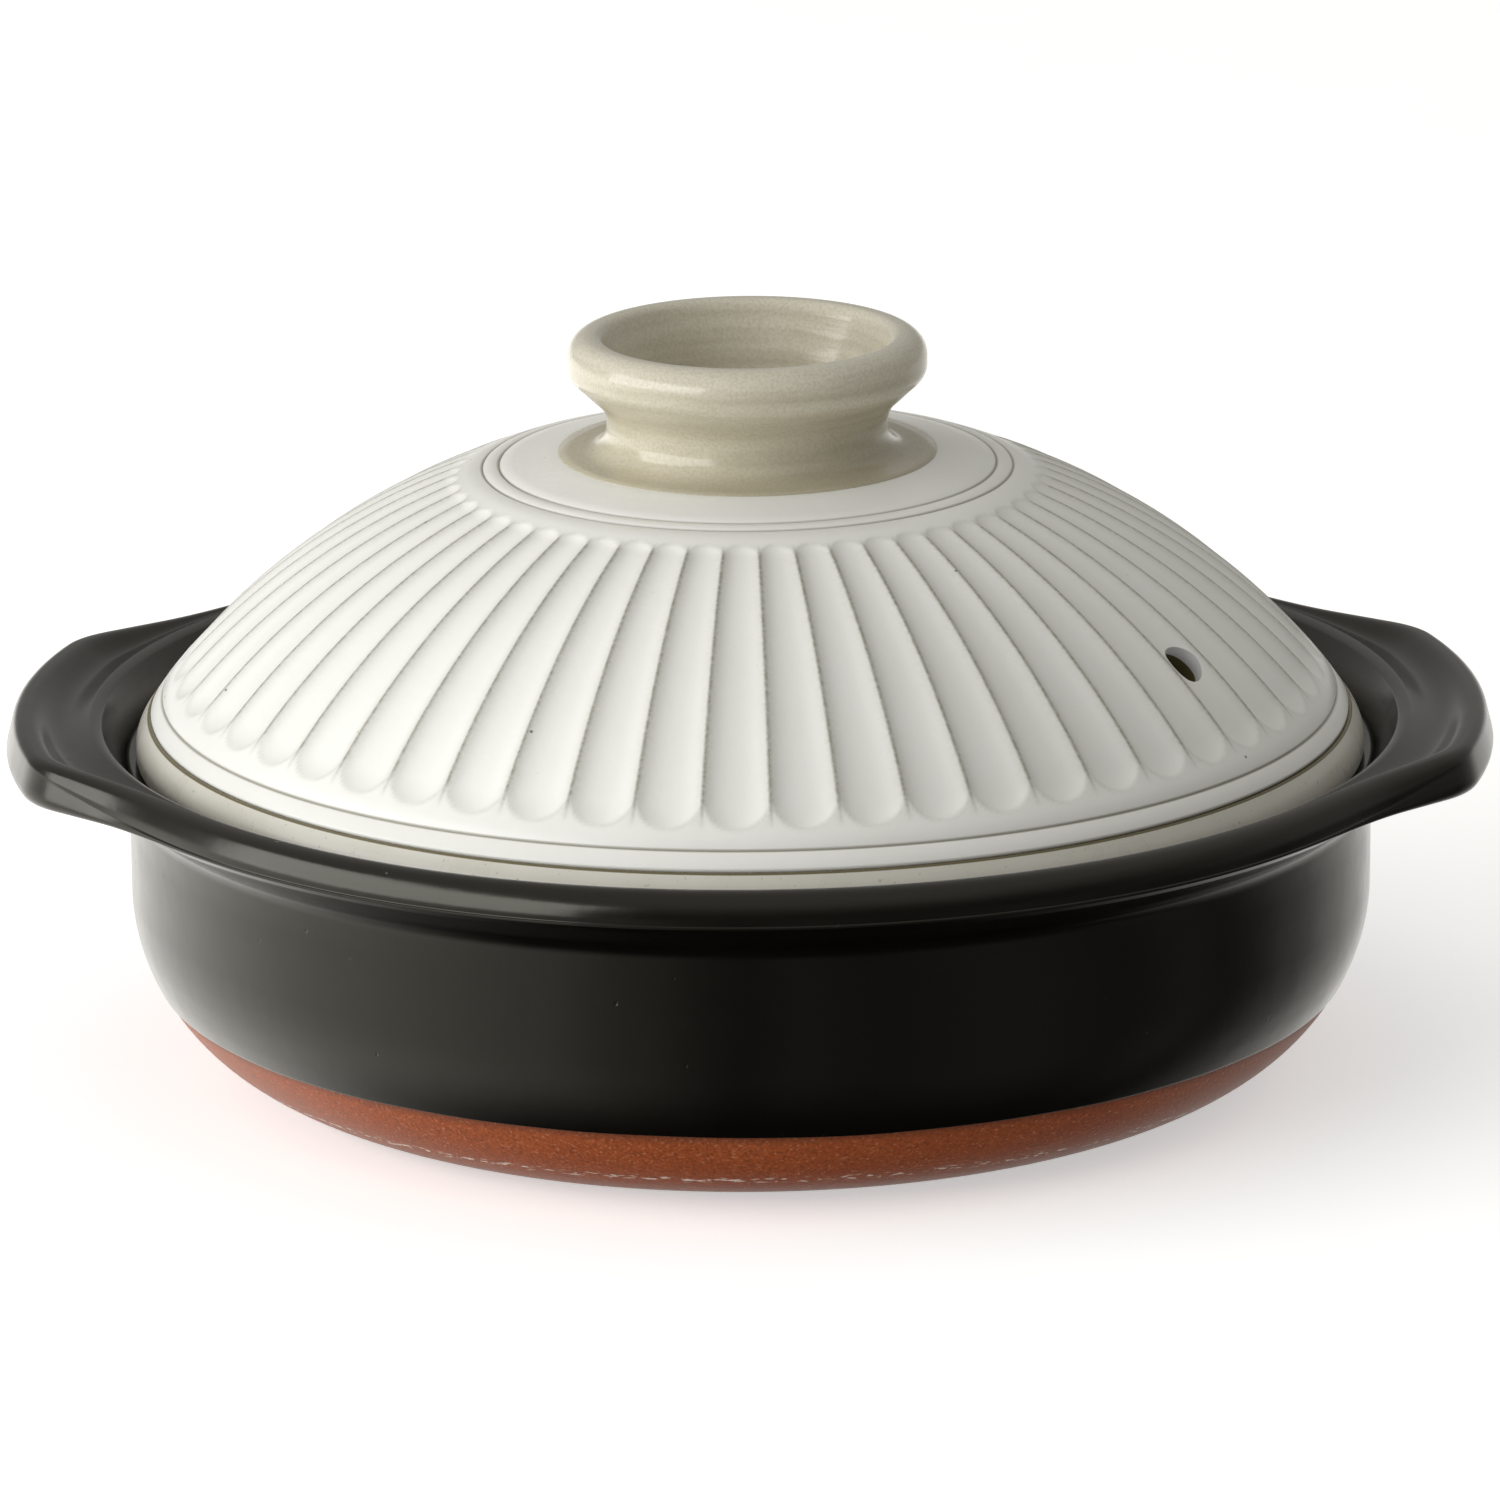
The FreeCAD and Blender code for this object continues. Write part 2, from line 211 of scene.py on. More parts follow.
def dressed(piece, material):
    """The piece with its finish on it."""
    piece.data.materials.append(material)
    report(piece)
    return piece


# %% [markdown]
# ## Colours and nodes
# Colours are written as the sRGB hex values that a colour picker shows, and one function turns them
# to the linear values that a shader needs. One more function adds a node, sets it and links it, for
# material trees and geometry trees alike. A finish is coats of colour over a ground colour, a range of
# roughness and layers of relief, and the last function puts those on the shader.

# %% Tools for materials
def srgb(code):
    channels = [int(code[place:place + 2], 16) / 255 for place in (1, 3, 5)]
    linear = [c / 12.92 if c <= 0.04045 else ((c + 0.055) / 1.055) ** 2.4 for c in channels]
    return (*linear, 1.0)


def add(tree, kind, inputs=None, **settings):
    """A new node with settings. An input is a value, or a link from a socket or a node's first output."""
    node = tree.nodes.new(kind)
    for name, value in settings.items():
        setattr(node, name, value)
    for socket, value in (inputs or {}).items():
        if isinstance(value, bpy.types.Node):
            value = value.outputs[0]
        if isinstance(value, bpy.types.NodeSocket):
            tree.links.new(value, node.inputs[socket])
        else:
            node.inputs[socket].default_value = value
    return node


def per_metre(size):
    """How often a pattern of that many millimetres repeats in a metre."""
    return 1 / (size * MM)


def new_material(name):
    """A new material, its tree, its shader and the places that its patterns follow."""
    material = bpy.data.materials.new(name)
    material.use_nodes = True
    tree = material.node_tree
    place = add(tree, "ShaderNodeTexCoord").outputs["Object"]
    return material, tree, tree.nodes["Principled BSDF"], place


def apply_finish(tree, shader, ground, coats, gloss, reliefs, ior):
    """Coats are (share, colour), gloss is (pattern, least, most), reliefs are (pattern, strength, mm)."""
    colour = srgb(ground)
    for share, code in coats:
        layer = {0: share, 6: colour, 7: srgb(code)}
        colour = add(tree, "ShaderNodeMix", layer, data_type="RGBA").outputs[2]
    pattern, least, most = gloss
    roughness = add(tree, "ShaderNodeMapRange", {"Value": pattern, "To Min": least, "To Max": most})
    below = {}
    for pattern, strength, height in reliefs:
        layer = {"Height": pattern, "Strength": strength, "Distance": height * MM, **below}
        below = {"Normal": add(tree, "ShaderNodeBump", layer).outputs["Normal"]}
    tree.links.new(colour, shader.inputs["Base Color"])
    tree.links.new(roughness.outputs["Result"], shader.inputs["Roughness"])
    tree.links.new(below["Normal"], shader.inputs["Normal"])
    shader.inputs["IOR"].default_value = ior


# %% [markdown]
# ## Black glaze
# The bowl wears an iron glaze: an iron-rich glass that fires to a warm black with a satin skin. It
# reflects softly, so its look is mostly the studio that it mirrors. The wheel leaves faint rings in
# it, it is never quite even, and gas from the clay leaves pinholes. All of that is small relief.

# %% Black iron glaze on stoneware
GLASS_IOR = 1.5
BLACK_CLOUD = 30
BLACK_SKIN = 7
BLACK_RING = 5
PINHOLE_GAP = 9


def black_iron_glaze():
    material, tree, shader, place = new_material("black_iron_glaze")
    cloud = add(tree, "ShaderNodeTexNoise", {
        "Vector": place, "Scale": per_metre(BLACK_CLOUD), "Detail": 3.0})
    skin = add(tree, "ShaderNodeTexNoise", {
        "Vector": place, "Scale": per_metre(BLACK_SKIN), "Detail": 4.0})
    stretched = add(tree, "ShaderNodeMapping", {"Vector": place, "Scale": (0.03, 0.03, 1.0)})
    rings = add(tree, "ShaderNodeTexNoise", {
        "Vector": stretched, "Scale": per_metre(BLACK_RING), "Detail": 2.0})
    pits = add(tree, "ShaderNodeTexVoronoi", {"Vector": place, "Scale": per_metre(PINHOLE_GAP)})
    pinholes = add(tree, "ShaderNodeMapRange", {
        "Value": pits, "From Min": 0.03, "From Max": 0.05, "To Min": -1.0, "To Max": 0.0})
    coats = [(cloud, "#100E0A")]
    reliefs = [(rings, 0.12, 0.6), (skin, 0.1, 0.5), (pinholes, 0.5, 0.2)]
    apply_finish(tree, shader, "#080706", coats, (skin, 0.14, 0.24), reliefs, GLASS_IOR)
    shader.inputs["Specular Tint"].default_value = srgb("#FFFCEE")
    return material


black_glaze = black_iron_glaze()
print("made", black_glaze.name)

# %% [markdown]
# ## Bowl and lugs
# The bowl and its lugs are one clay body under one glaze, so they get one skin. The lug is made as
# the lip of the rim drawn out: both have a section with the same count of points, and each angle
# takes a mix of the two. The share comes from the lug's plan, which has a blunt tip, runs out a little
# wider at the back than at the front, and is blended in softly where it leaves the rim.

# %% Sizes of the bowl
WALL_RADIUS = 127.0
WALL = 7.5
BORE = WALL_RADIUS - WALL
FLOOR = 9.0
HEEL = 38.5
HEEL_CENTRE = (WALL_RADIUS - HEEL, HEEL)
LEAN_FOOT = 53.5
LEAN = 0.5
LEAN_ROUNDING = 40.0
FLARE_FOOT = 59.8
FLARE_ROUNDING = 5.0
LIP_EDGE = (139.0, 67.4, 0.2)
LIP_UNDERCUT = 1.1
LIP_DIP = (138.95, 67.9)
LIP_SWELL = (rim.y, 70.1, 8.0)
LIP_TOP = rim.z - 0.4
LIP_SHOULDER = (136.6, LIP_TOP, 3.6)
CREST = (134.4, LIP_TOP)
GALLERY_EDGE = (132.4, 73.2, 1.2)
GALLERY_FOOT = (127.2, LID_SEAT, 1.5)
BORE_EDGE = (BORE, LID_SEAT, 1.5)
BOWL_COLUMNS = 480
CURVE_ROWS = 12
print("bore %.1f, top of the lip %.1f" % (BORE, LIP_TOP))

# %% Sizes of the lugs
LUG_ROOT = 136.9
LUG_ROOT_RUN = 3.0
LUG_ROOT_ROUNDING = 2.5
LUG_ROUNDING = 2.4
LUG_TAPER = 2.4
LUG_TIP_ANGLE = math.radians(17.5)
LUG_ROOT_ANGLE = math.radians(30.5)
LUG_BACK_WIDTH = 1.15
LUG_CORNER = 3.0
LUG_BLEND = 5.0
DISH_DEPTH = 2.9
DISH_MARGIN = 5.6
DISH_ROWS = 20
ROOT_ROWS, UNDER_ROWS, EDGE_ROWS, FACE_ROWS, SHOULDER_ROWS, TOP_ROWS = 5, 10, 8, 6, 20, 26
print("a lug reaches %.1f beyond the rim" % (lug_high.x - rim.x))


# %% The lip and the lug, drawn with matching points
def drawn_out(under, low, face, high, top):
    """One section from the flare to the crest: under, low edge, face, high edge and top."""
    return np.concatenate([
        evenly([*under, low[0]], UNDER_ROWS)[:-1],
        low,
        evenly([low[-1], *face, high[0]], FACE_ROWS)[1:-1],
        high,
        evenly([high[-1], *top], TOP_ROWS)[1:],
    ])


def lip_section():
    start = (LIP_EDGE[0] - LIP_UNDERCUT, LIP_EDGE[1] - LIP_UNDERCUT)
    low = corner_arc(start, LIP_EDGE[:2], LIP_DIP, LIP_EDGE[2], EDGE_ROWS)
    high = rounded([LIP_DIP, LIP_SWELL, LIP_SHOULDER, CREST], SHOULDER_ROWS // 2)[1:-1]
    return drawn_out([start], low, [LIP_DIP], high, [CREST])


def lug_section():
    root = (LUG_ROOT, lug_low.z)
    below_root = (LUG_ROOT - LUG_ROOT_RUN, lug_low.z - LUG_ROOT_RUN)
    low_corner = (lug_high.x, lug_low.z)
    high_corner = (lug_high.x - LUG_TAPER, lug_high.z)
    plateau = (lug_high.x - DISH_MARGIN, lug_high.z)
    under = corner_arc(below_root, root, low_corner, LUG_ROOT_ROUNDING, ROOT_ROWS)
    low = corner_arc(root, low_corner, high_corner, LUG_ROUNDING, EDGE_ROWS)
    high = corner_arc(low_corner, high_corner, plateau, LUG_ROUNDING, SHOULDER_ROWS)
    shares = np.linspace(0, 1, DISH_ROWS)
    depths = DISH_DEPTH * np.sin(math.pi * shares) ** (2 - shares)
    dish = np.stack([
        plateau[0] + (CREST[0] - plateau[0]) * shares,
        plateau[1] + (CREST[1] - plateau[1]) * shares - depths,
    ], axis=1)
    return drawn_out(under, low, [], high, dish)


def lug_plan(aside):
    """Reach of a lug at an angle from its middle: a tip that follows the rim, and slanted sides."""
    tip = lug_high.x * np.exp(1j * LUG_TIP_ANGLE)
    root = rim.y * np.exp(1j * LUG_ROOT_ANGLE)
    square = -1j * (root - tip) / abs(root - tip)
    distance = (tip * square.conjugate()).real
    side = distance / np.cos(np.minimum(aside - np.angle(square), 0))
    overlap = np.maximum(LUG_CORNER - np.abs(side - lug_high.x), 0) / LUG_CORNER
    return np.minimum(side, lug_high.x) - overlap ** 2 * LUG_CORNER / 4


def lug_share(angles):
    """How far the lip is drawn out at each angle: 0 is the plain lip and 1 is the tip of a lug."""
    widths = np.where(np.sin(angles) > 0, LUG_BACK_WIDTH, 1)
    plan = lug_plan(np.arcsin(np.abs(np.sin(angles))) / widths)
    overlap = np.maximum(LUG_BLEND - np.abs(plan - rim.y), 0) / LUG_BLEND
    reach = np.maximum(plan, rim.y) + overlap ** 2 * LUG_BLEND / 4
    return (reach - rim.y) / (lug_high.x - rim.y)


print("points in a section of the lip", len(lip_section()), "and of the lug", len(lug_section()))

# %% [markdown]
# ## Where the glaze ends
# The potter wipes the glaze off the foot before firing, so it ends in a slightly wavy line with a
# thin rounded edge. Here the coat is real: it stands a third of a millimetre proud of the bare clay.
# The bowl is split there into the glazed body and the clay foot, which fit together inside the wall.
# Places on the rounded heel are given as angles in degrees, from 0 at the base to 90 at the wall.

# %% The line of the glaze
GLAZE_ANGLE = 61.3
GLAZE_WAVE = 0.5
WAVES = ((3, 0.4, 0.9), (7, 0.3, 2.1), (13, 0.2, 4.4), (29, 0.1, 1.3))
GLAZE_COAT = 0.35
COAT_OVERLAP = 2.5
COAT_EDGE_START = 0.1
COAT_EDGE_SPREAD = 0.8
COAT_FACE_START = 1.5
HEEL_END = 89
SPLIT = 4.5
MIDDLE_RADIUS = HEEL - SPLIT
MIDDLE_ROWS, COVERED_ROWS, COAT_EDGE_ROWS, HEEL_ROWS = 8, 4, 6, 20


def glaze_line(angles):
    """The heel angle where the glaze ends: a few slow waves on an even line."""
    wave = sum(size * np.sin(count * angles + shift) for count, size, shift in WAVES)
    return GLAZE_ANGLE + GLAZE_WAVE * wave


def heel(radius, start, end, count):
    return about(HEEL_CENTRE, radius, np.linspace(start, end, count))


def coat_edge(line):
    """The thin round edge of the coat, from the clay under it to its outer face."""
    turns = np.radians(np.linspace(0, 90, COAT_EDGE_ROWS))
    lift = GLAZE_COAT * np.sin(turns)
    return about(HEEL_CENTRE, HEEL - GLAZE_COAT + lift, line + (1 - np.cos(turns)) * COAT_EDGE_SPREAD)


glaze_lines = glaze_line(angles_round(BOWL_COLUMNS))
print("the glaze ends %.1f to %.1f degrees up the heel" % (glaze_lines.min(), glaze_lines.max()))


# %% Glazed body
def glazed_section(line, share, lip, lug):
    """The section at one angle: from inside the floor, round the coat's edge and the rim, to the floor."""
    covered = line + COAT_OVERLAP
    flare_end = (1 - share) * lip[0] + share * lug[0]
    wall = rounded([
        (WALL_RADIUS, HEEL),
        (WALL_RADIUS, LEAN_FOOT, LEAN_ROUNDING),
        (WALL_RADIUS + LEAN, FLARE_FOOT, FLARE_ROUNDING),
        tuple(flare_end),
    ], CURVE_ROWS)
    inside = rounded([CREST, GALLERY_EDGE, GALLERY_FOOT, BORE_EDGE, (BORE, FLOOR, HEEL - WALL), (0, FLOOR)],
                     CURVE_ROWS)
    return np.concatenate([
        [(0, SPLIT)],
        heel(MIDDLE_RADIUS, 0, covered, MIDDLE_ROWS),
        heel(HEEL - GLAZE_COAT, covered, line + COAT_EDGE_START, COVERED_ROWS),
        coat_edge(line),
        heel(HEEL, line + COAT_FACE_START, HEEL_END, HEEL_ROWS),
        wall[:-1],
        (1 - share) * lip + share * lug,
        inside[1:],
    ])


def body_sections():
    lip, lug = lip_section(), lug_section()
    shares = lug_share(angles_round(BOWL_COLUMNS))
    return [glazed_section(line, share, lip, lug) for line, share in zip(glaze_lines, shares)]


glazed_bowl = dressed(turned("glazed_bowl", np.array(body_sections())), black_glaze)

# %% [markdown]
# ## Bare clay
# The foot shows the fired clay itself: a red-brown stoneware, matt and grainy, with pale grog, the
# crushed pot that a potter mixes in against cracks. Turning drags the grog into fine level lines, the
# clay darkens just under the glaze, and one low turned line is chipped pale where the pot was handled.

# %% Bare red stoneware
CLAY_IOR = 1.45
CLAY_CLOUD = 18
CLAY_GRAIN = 0.7
CLAY_LINE = 1.5
CHIP = 1.2
FUMED_START, FUMED_END = 18.2, 20.2
CHIPPED_LOW, CHIPPED_HIGH = (7.1, 7.8), (8.5, 9.3)


def chipped_line(tree, place, height):
    """Where the low turned line is chipped: a level band, broken up by a noise that is dragged round."""
    low_edge = add(tree, "ShaderNodeMapRange", {
        "Value": height, "From Min": CHIPPED_LOW[0] * MM, "From Max": CHIPPED_LOW[1] * MM})
    high_edge = add(tree, "ShaderNodeMapRange", {
        "Value": height, "From Min": CHIPPED_HIGH[0] * MM, "From Max": CHIPPED_HIGH[1] * MM,
        "To Min": 1.0, "To Max": 0.0})
    band = add(tree, "ShaderNodeMath", {0: low_edge, 1: high_edge}, operation="MULTIPLY")
    dragged = add(tree, "ShaderNodeMapping", {"Vector": place, "Scale": (0.5, 0.5, 2.0)})
    chips = add(tree, "ShaderNodeTexNoise", {
        "Vector": dragged, "Scale": per_metre(CHIP), "Detail": 4.0})
    broken = add(tree, "ShaderNodeMapRange", {"Value": chips, "From Min": 0.56, "From Max": 0.62})
    return add(tree, "ShaderNodeMath", {0: band, 1: broken}, operation="MULTIPLY")


def bare_red_stoneware():
    material, tree, shader, place = new_material("bare_red_stoneware")
    height = add(tree, "ShaderNodeSeparateXYZ", {"Vector": place}).outputs["Z"]
    cloud = add(tree, "ShaderNodeTexNoise", {
        "Vector": place, "Scale": per_metre(CLAY_CLOUD), "Detail": 5.0})
    grain = add(tree, "ShaderNodeTexNoise", {
        "Vector": place, "Scale": per_metre(CLAY_GRAIN), "Detail": 4.0})
    dark = add(tree, "ShaderNodeMapRange", {
        "Value": grain, "From Min": 0.34, "From Max": 0.52, "To Min": 0.8, "To Max": 0.0})
    grog = add(tree, "ShaderNodeMapRange", {
        "Value": grain, "From Min": 0.6, "From Max": 0.68, "To Max": 0.3})
    fumed = add(tree, "ShaderNodeMapRange", {
        "Value": height, "From Min": FUMED_START * MM, "From Max": FUMED_END * MM, "To Max": 0.7})
    coats = [(cloud, "#B05A28"), (dark, "#7A3E1E"), (grog, "#E0B899"), (fumed, "#5A3220"),
             (chipped_line(tree, place, height), "#EFE4D8")]
    stretched = add(tree, "ShaderNodeMapping", {"Vector": place, "Scale": (0.1, 0.1, 1.0)})
    lines = add(tree, "ShaderNodeTexNoise", {"Vector": stretched, "Scale": per_metre(CLAY_LINE)})
    reliefs = [(lines, 0.15, 0.3), (grain, 0.45, 0.3)]
    apply_finish(tree, shader, "#994419", coats, (grain, 0.38, 0.58), reliefs, CLAY_IOR)
    return material


red_clay = bare_red_stoneware()
print("made", red_clay.name)

# %% Clay foot
FOOT_ROWS = 34


def foot_section(line):
    """From the middle of the base, up the heel to under the coat, and back inside the wall."""
    covered = line + COAT_OVERLAP
    steps = np.linspace(0, covered, FOOT_ROWS)
    radius = HEEL - GLAZE_COAT * np.clip(steps / line, 0, 1)
    return np.concatenate([
        [(0, 0), (HEEL_CENTRE[0] / 2, 0)],
        about(HEEL_CENTRE, radius, steps),
        heel(MIDDLE_RADIUS, covered, 0, MIDDLE_ROWS),
        [(0, SPLIT)],
    ])


foot_sections = np.array([foot_section(line) for line in glaze_lines])
clay_foot = dressed(turned("clay_foot", foot_sections), red_clay)

# %% [markdown]
# ## White glaze
# The lid's glaze is an opaque white that runs thin on the ridges between the flutes, so they show a grey
# line. Beside each ridge, round the ends of the flutes and along the turned grooves the white is painted
# grey: that is painted shade. The mesh itself knows where those places are: it carries two numbers at
# each point, thin for the ridges and the flute ends and line for the grooves, and the glaze reads them.
# A few iron specks come through from the clay, and wiping left faint level marks.

# %% White glaze, thin on the ridges, with painted shade beside them, round the flute ends and in the grooves
WHITE_CLOUD = 22
WHITE_FLECK = 2.5
WHITE_GRAIN = 0.8
WHITE_SPECK_GAP = 14
WIPING_MARK = 1.6


def white_satin_glaze():
    material, tree, shader, place = new_material("white_satin_glaze")
    cloud = add(tree, "ShaderNodeTexNoise", {
        "Vector": place, "Scale": per_metre(WHITE_CLOUD), "Detail": 4.0})
    fleck = add(tree, "ShaderNodeTexNoise", {
        "Vector": place, "Scale": per_metre(WHITE_FLECK), "Detail": 4.0})
    grain = add(tree, "ShaderNodeTexNoise", {
        "Vector": place, "Scale": per_metre(WHITE_GRAIN), "Detail": 3.0})
    patchy = add(tree, "ShaderNodeMapRange", {
        "Value": grain, "From Min": 0.35, "From Max": 0.65, "To Min": 0.7, "To Max": 1.0})
    # thin: a grey line of thin glaze on each ridge, plus painted shade beside the ridges and round the
    # flute ends
    thin = add(tree, "ShaderNodeAttribute", attribute_name="thin")
    painted_shade_and_thin_glaze = add(tree, "ShaderNodeMath", {0: thin.outputs["Fac"], 1: patchy}, operation="MULTIPLY")
    # line: painted shade along the turned grooves
    line = add(tree, "ShaderNodeAttribute", attribute_name="line")
    cells = add(tree, "ShaderNodeTexVoronoi", {"Vector": place, "Scale": per_metre(WHITE_SPECK_GAP)})
    specks = add(tree, "ShaderNodeMapRange", {
        "Value": cells, "From Min": 0.015, "From Max": 0.03, "To Min": 0.8, "To Max": 0.0})
    coats = [(cloud, "#F7F7F3"), (painted_shade_and_thin_glaze, "#8C8A7C"), (line.outputs["Fac"], "#9C998C"), (specks, "#4A4034")]
    level = add(tree, "ShaderNodeMapping", {"Vector": place, "Scale": (0.06, 0.06, 1.0)})
    wiped = add(tree, "ShaderNodeTexNoise", {
        "Vector": level, "Scale": per_metre(WIPING_MARK), "Detail": 3.0})
    reliefs = [(wiped, 0.08, 0.3), (fleck, 0.15, 0.4)]
    apply_finish(tree, shader, "#F0F0EA", coats, (fleck, 0.24, 0.38), reliefs, GLASS_IOR)
    return material


white_glaze = white_satin_glaze()
print("made", white_glaze.name)

# %% [markdown]
# ## The fluted dome
# The dome is one flute repeated 54 times round the axis. So one sector is drawn with one flute, and
# Geometry Nodes repeat it, join the copies and give the whole a slightly uneven, hand-finished skin.
# A flute is a shallow hollow that widens down the dome. Its depth at a point depends only on how far
# the point lies from the middle line of the flute, which makes its two ends round by themselves.

# %% Sizes of the dome
LID_WALL = 6.5
SHOULDER = (120.1, 77.8)
LOW_GROOVE = (122.5, 74.4)
CROWN_EDGE = (54.0, 124.4)
DOME_BULGE = 5.7
DOME_POINTS = 400
DOME_LIP_DEPTH = 0.35
DOME_LIP_WIDTH = 0.5
GROOVE_WIDTH = 1.0
GROOVE_DEPTH = 0.4
GROOVE_GAP = 3.4
GROOVE_RADII = (SHOULDER[0], CROWN_EDGE[0], CROWN_EDGE[0] - GROOVE_GAP)
MIDDLE_FOOT = (LOW_GROOVE[0] - 2.6, LOW_GROOVE[1] - 1.8)
MIDDLE_ARC_ROWS = 8
print("wall of the lid", LID_WALL, "radii of its grooves", GROOVE_RADII)


# %% The dome's outline
def dome_circle():
    """Centre and radius of the arc from the shoulder to the crown."""
    start, end = np.array(SHOULDER), np.array(CROWN_EDGE)
    chord = end - start
    length = np.linalg.norm(chord)
    radius = (length ** 2 / 4 + DOME_BULGE ** 2) / (2 * DOME_BULGE)
    outward = np.array([chord[1], -chord[0]]) / length
    return (start + end) / 2 + outward * (DOME_BULGE - radius), radius


def dome_arc(inset, count, down=False):
    """The dome's arc, moved in from its outer face."""
    centre, radius = dome_circle()
    ends = [math.degrees(math.atan2(point[0] - centre[0], centre[1] - point[1]))
            for point in (SHOULDER, CROWN_EDGE)]
    start, end = reversed(ends) if down else ends
    return about(centre, radius - inset, np.linspace(start, end, count))


def dome_outline():
    """The outer face from the low groove to the foot of the knob."""
    return np.concatenate([[LOW_GROOVE], dome_arc(0, DOME_POINTS), [(knob_high.x, CROWN)]])


def distance_at(outline, radius):
    """How far along the outline a radius is reached."""
    return float(np.interp(radius, outline[::-1, 0], travelled(outline)[::-1]))


def middle_rows():
    """The hidden face in the middle of the lid's wall, from the axis down to the low groove."""
    middle = LID_WALL / 2
    return np.concatenate([
        [(0, CROWN - middle), (knob_high.x, CROWN - middle)],
        dome_arc(middle, MIDDLE_ARC_ROWS, down=True),
        [MIDDLE_FOOT],
    ])


print("radius of the dome's arc %.1f" % dome_circle()[1])

# %% Rows of a sector
FLUTES = 54
PITCH = 2 * math.pi / FLUTES
FLUTE_TOP = 62.0
FLUTE_BOTTOM = 113.2
FLUTE_SHARE = 0.95
END_MARGIN = 1
LIP_ROWS_END = 0.8
LIP_ROW_GAP = 0.15
ROW_GAP = 3.4
END_ROW_GAP = 0.6
LEAST_ROW_GAP = 0.1
GROOVE_ROWS = 7
SLOPE_STEP = 0.05


def flute_reach(radius):
    """Half the width of a flute at a radius."""
    return PITCH * radius * FLUTE_SHARE / 2


def row_places(length, grooves, ends):
    """Distances of the rows: close together at the lip, at grooves and at the ends of a flute."""
    places = [np.arange(0, LIP_ROWS_END, LIP_ROW_GAP), np.arange(LIP_ROWS_END, length, ROW_GAP), [length]]
    for groove in grooves:
        places.append(groove + np.linspace(-GROOVE_WIDTH / 2, GROOVE_WIDTH / 2, GROOVE_ROWS))
    for low, high in ends:
        places.append(np.arange(low, high, END_ROW_GAP))
    places = np.unique(np.round(np.concatenate(places), 3))
    places = places[(places >= 0) & (places <= length)]
    keep = np.concatenate([[True], np.diff(places) > LEAST_ROW_GAP])
    return places[keep]


def directions_out(outline, places, length):
    """The direction square to the outline at each place."""
    ahead = along(outline, np.clip(places + SLOPE_STEP, 0, length))
    behind = along(outline, np.clip(places - SLOPE_STEP, 0, length))
    run = ahead - behind
    run = run / np.linalg.norm(run, axis=1)[:, None]
    return np.stack([run[:, 1], -run[:, 0]], axis=1)


def sector_rows():
    """Of each row: point, direction outwards, distance beyond the flute, flute's radius, groove's share."""
    outline = dome_outline()
    length = travelled(outline)[-1]
    bottom, top = distance_at(outline, FLUTE_BOTTOM), distance_at(outline, FLUTE_TOP)
    grooves = [distance_at(outline, radius) for radius in GROOVE_RADII]
    ends = [(bottom - flute_reach(FLUTE_BOTTOM) - END_MARGIN, bottom + END_MARGIN),
            (top - END_MARGIN, top + flute_reach(FLUTE_TOP) + END_MARGIN)]
    places = row_places(length, grooves, ends)
    outward = directions_out(outline, places, length)
    nearest = np.min(np.abs(places[:, None] - np.array(grooves)), axis=1)
    # Each groove's share sinks the groove, and in the glaze it paints shade along the groove.
    line = np.cos(np.clip(nearest / GROOVE_WIDTH, 0, 0.5) * math.pi) ** 2
    lip = DOME_LIP_DEPTH * np.clip(1 - places / DOME_LIP_WIDTH, 0, 1) ** 2
    points = along(outline, places)
    sunk = points - outward * (GROOVE_DEPTH * line + lip)[:, None]
    beyond = np.maximum(bottom - places, 0) + np.maximum(places - top, 0)
    station = np.clip(points[:, 0], FLUTE_TOP, FLUTE_BOTTOM)
    return sunk, outward, beyond, station, line


print("rows of a sector", len(sector_rows()[0]))

# %% One sector of the dome, with one flute
FLUTE_DEPTH = 0.11
FLUTE_FULLNESS = 2.4
FLUTE_COLUMNS = 18
CROWDING = 0.62
# A ridge gets a thin-glaze line and a wider painted shade; the rim of a flute's end gets a painted shade,
# stronger away from its middle.
RIDGE_LINE = 0.36
RIDGE_SHADE = 1.6
RIDGE_SHADE_SHARE = 0.45
END_SHADE_WIDTH = 0.5
END_SHADE_SHARE = 0.3
END_SHADE_MIDDLE = 0.45


def column_shares():
    """Places of the columns across a sector, from -0.5 to 0.5, crowded towards the ridges."""
    shares = np.linspace(-0.5, 0.5, FLUTE_COLUMNS + 1)
    return shares + CROWDING * np.sin(2 * math.pi * shares) / (2 * math.pi)


def thin_glaze_and_shade_share(ridge, across, distance, beyond, reach):
    """How grey the glaze is painted: a thin-glaze line on each ridge with a painted shade beside it, and a
    painted shade round a flute's ends.
    """
    shade = RIDGE_SHADE_SHARE * np.exp(-(ridge / RIDGE_SHADE) ** 2)
    ridges = (np.exp(-(ridge / RIDGE_LINE) ** 2) + shade) / (1 + RIDGE_SHADE_SHARE)
    ridges = ridges * np.clip(1 - beyond / reach, 0, 1)
    ends = END_SHADE_SHARE * np.exp(-((distance - 1) * reach / END_SHADE_WIDTH) ** 2) * (beyond > 0)
    aside = END_SHADE_MIDDLE + (1 - END_SHADE_MIDDLE) * np.clip(np.abs(across) / reach, 0, 1)
    return np.maximum(ridges, ends * aside)


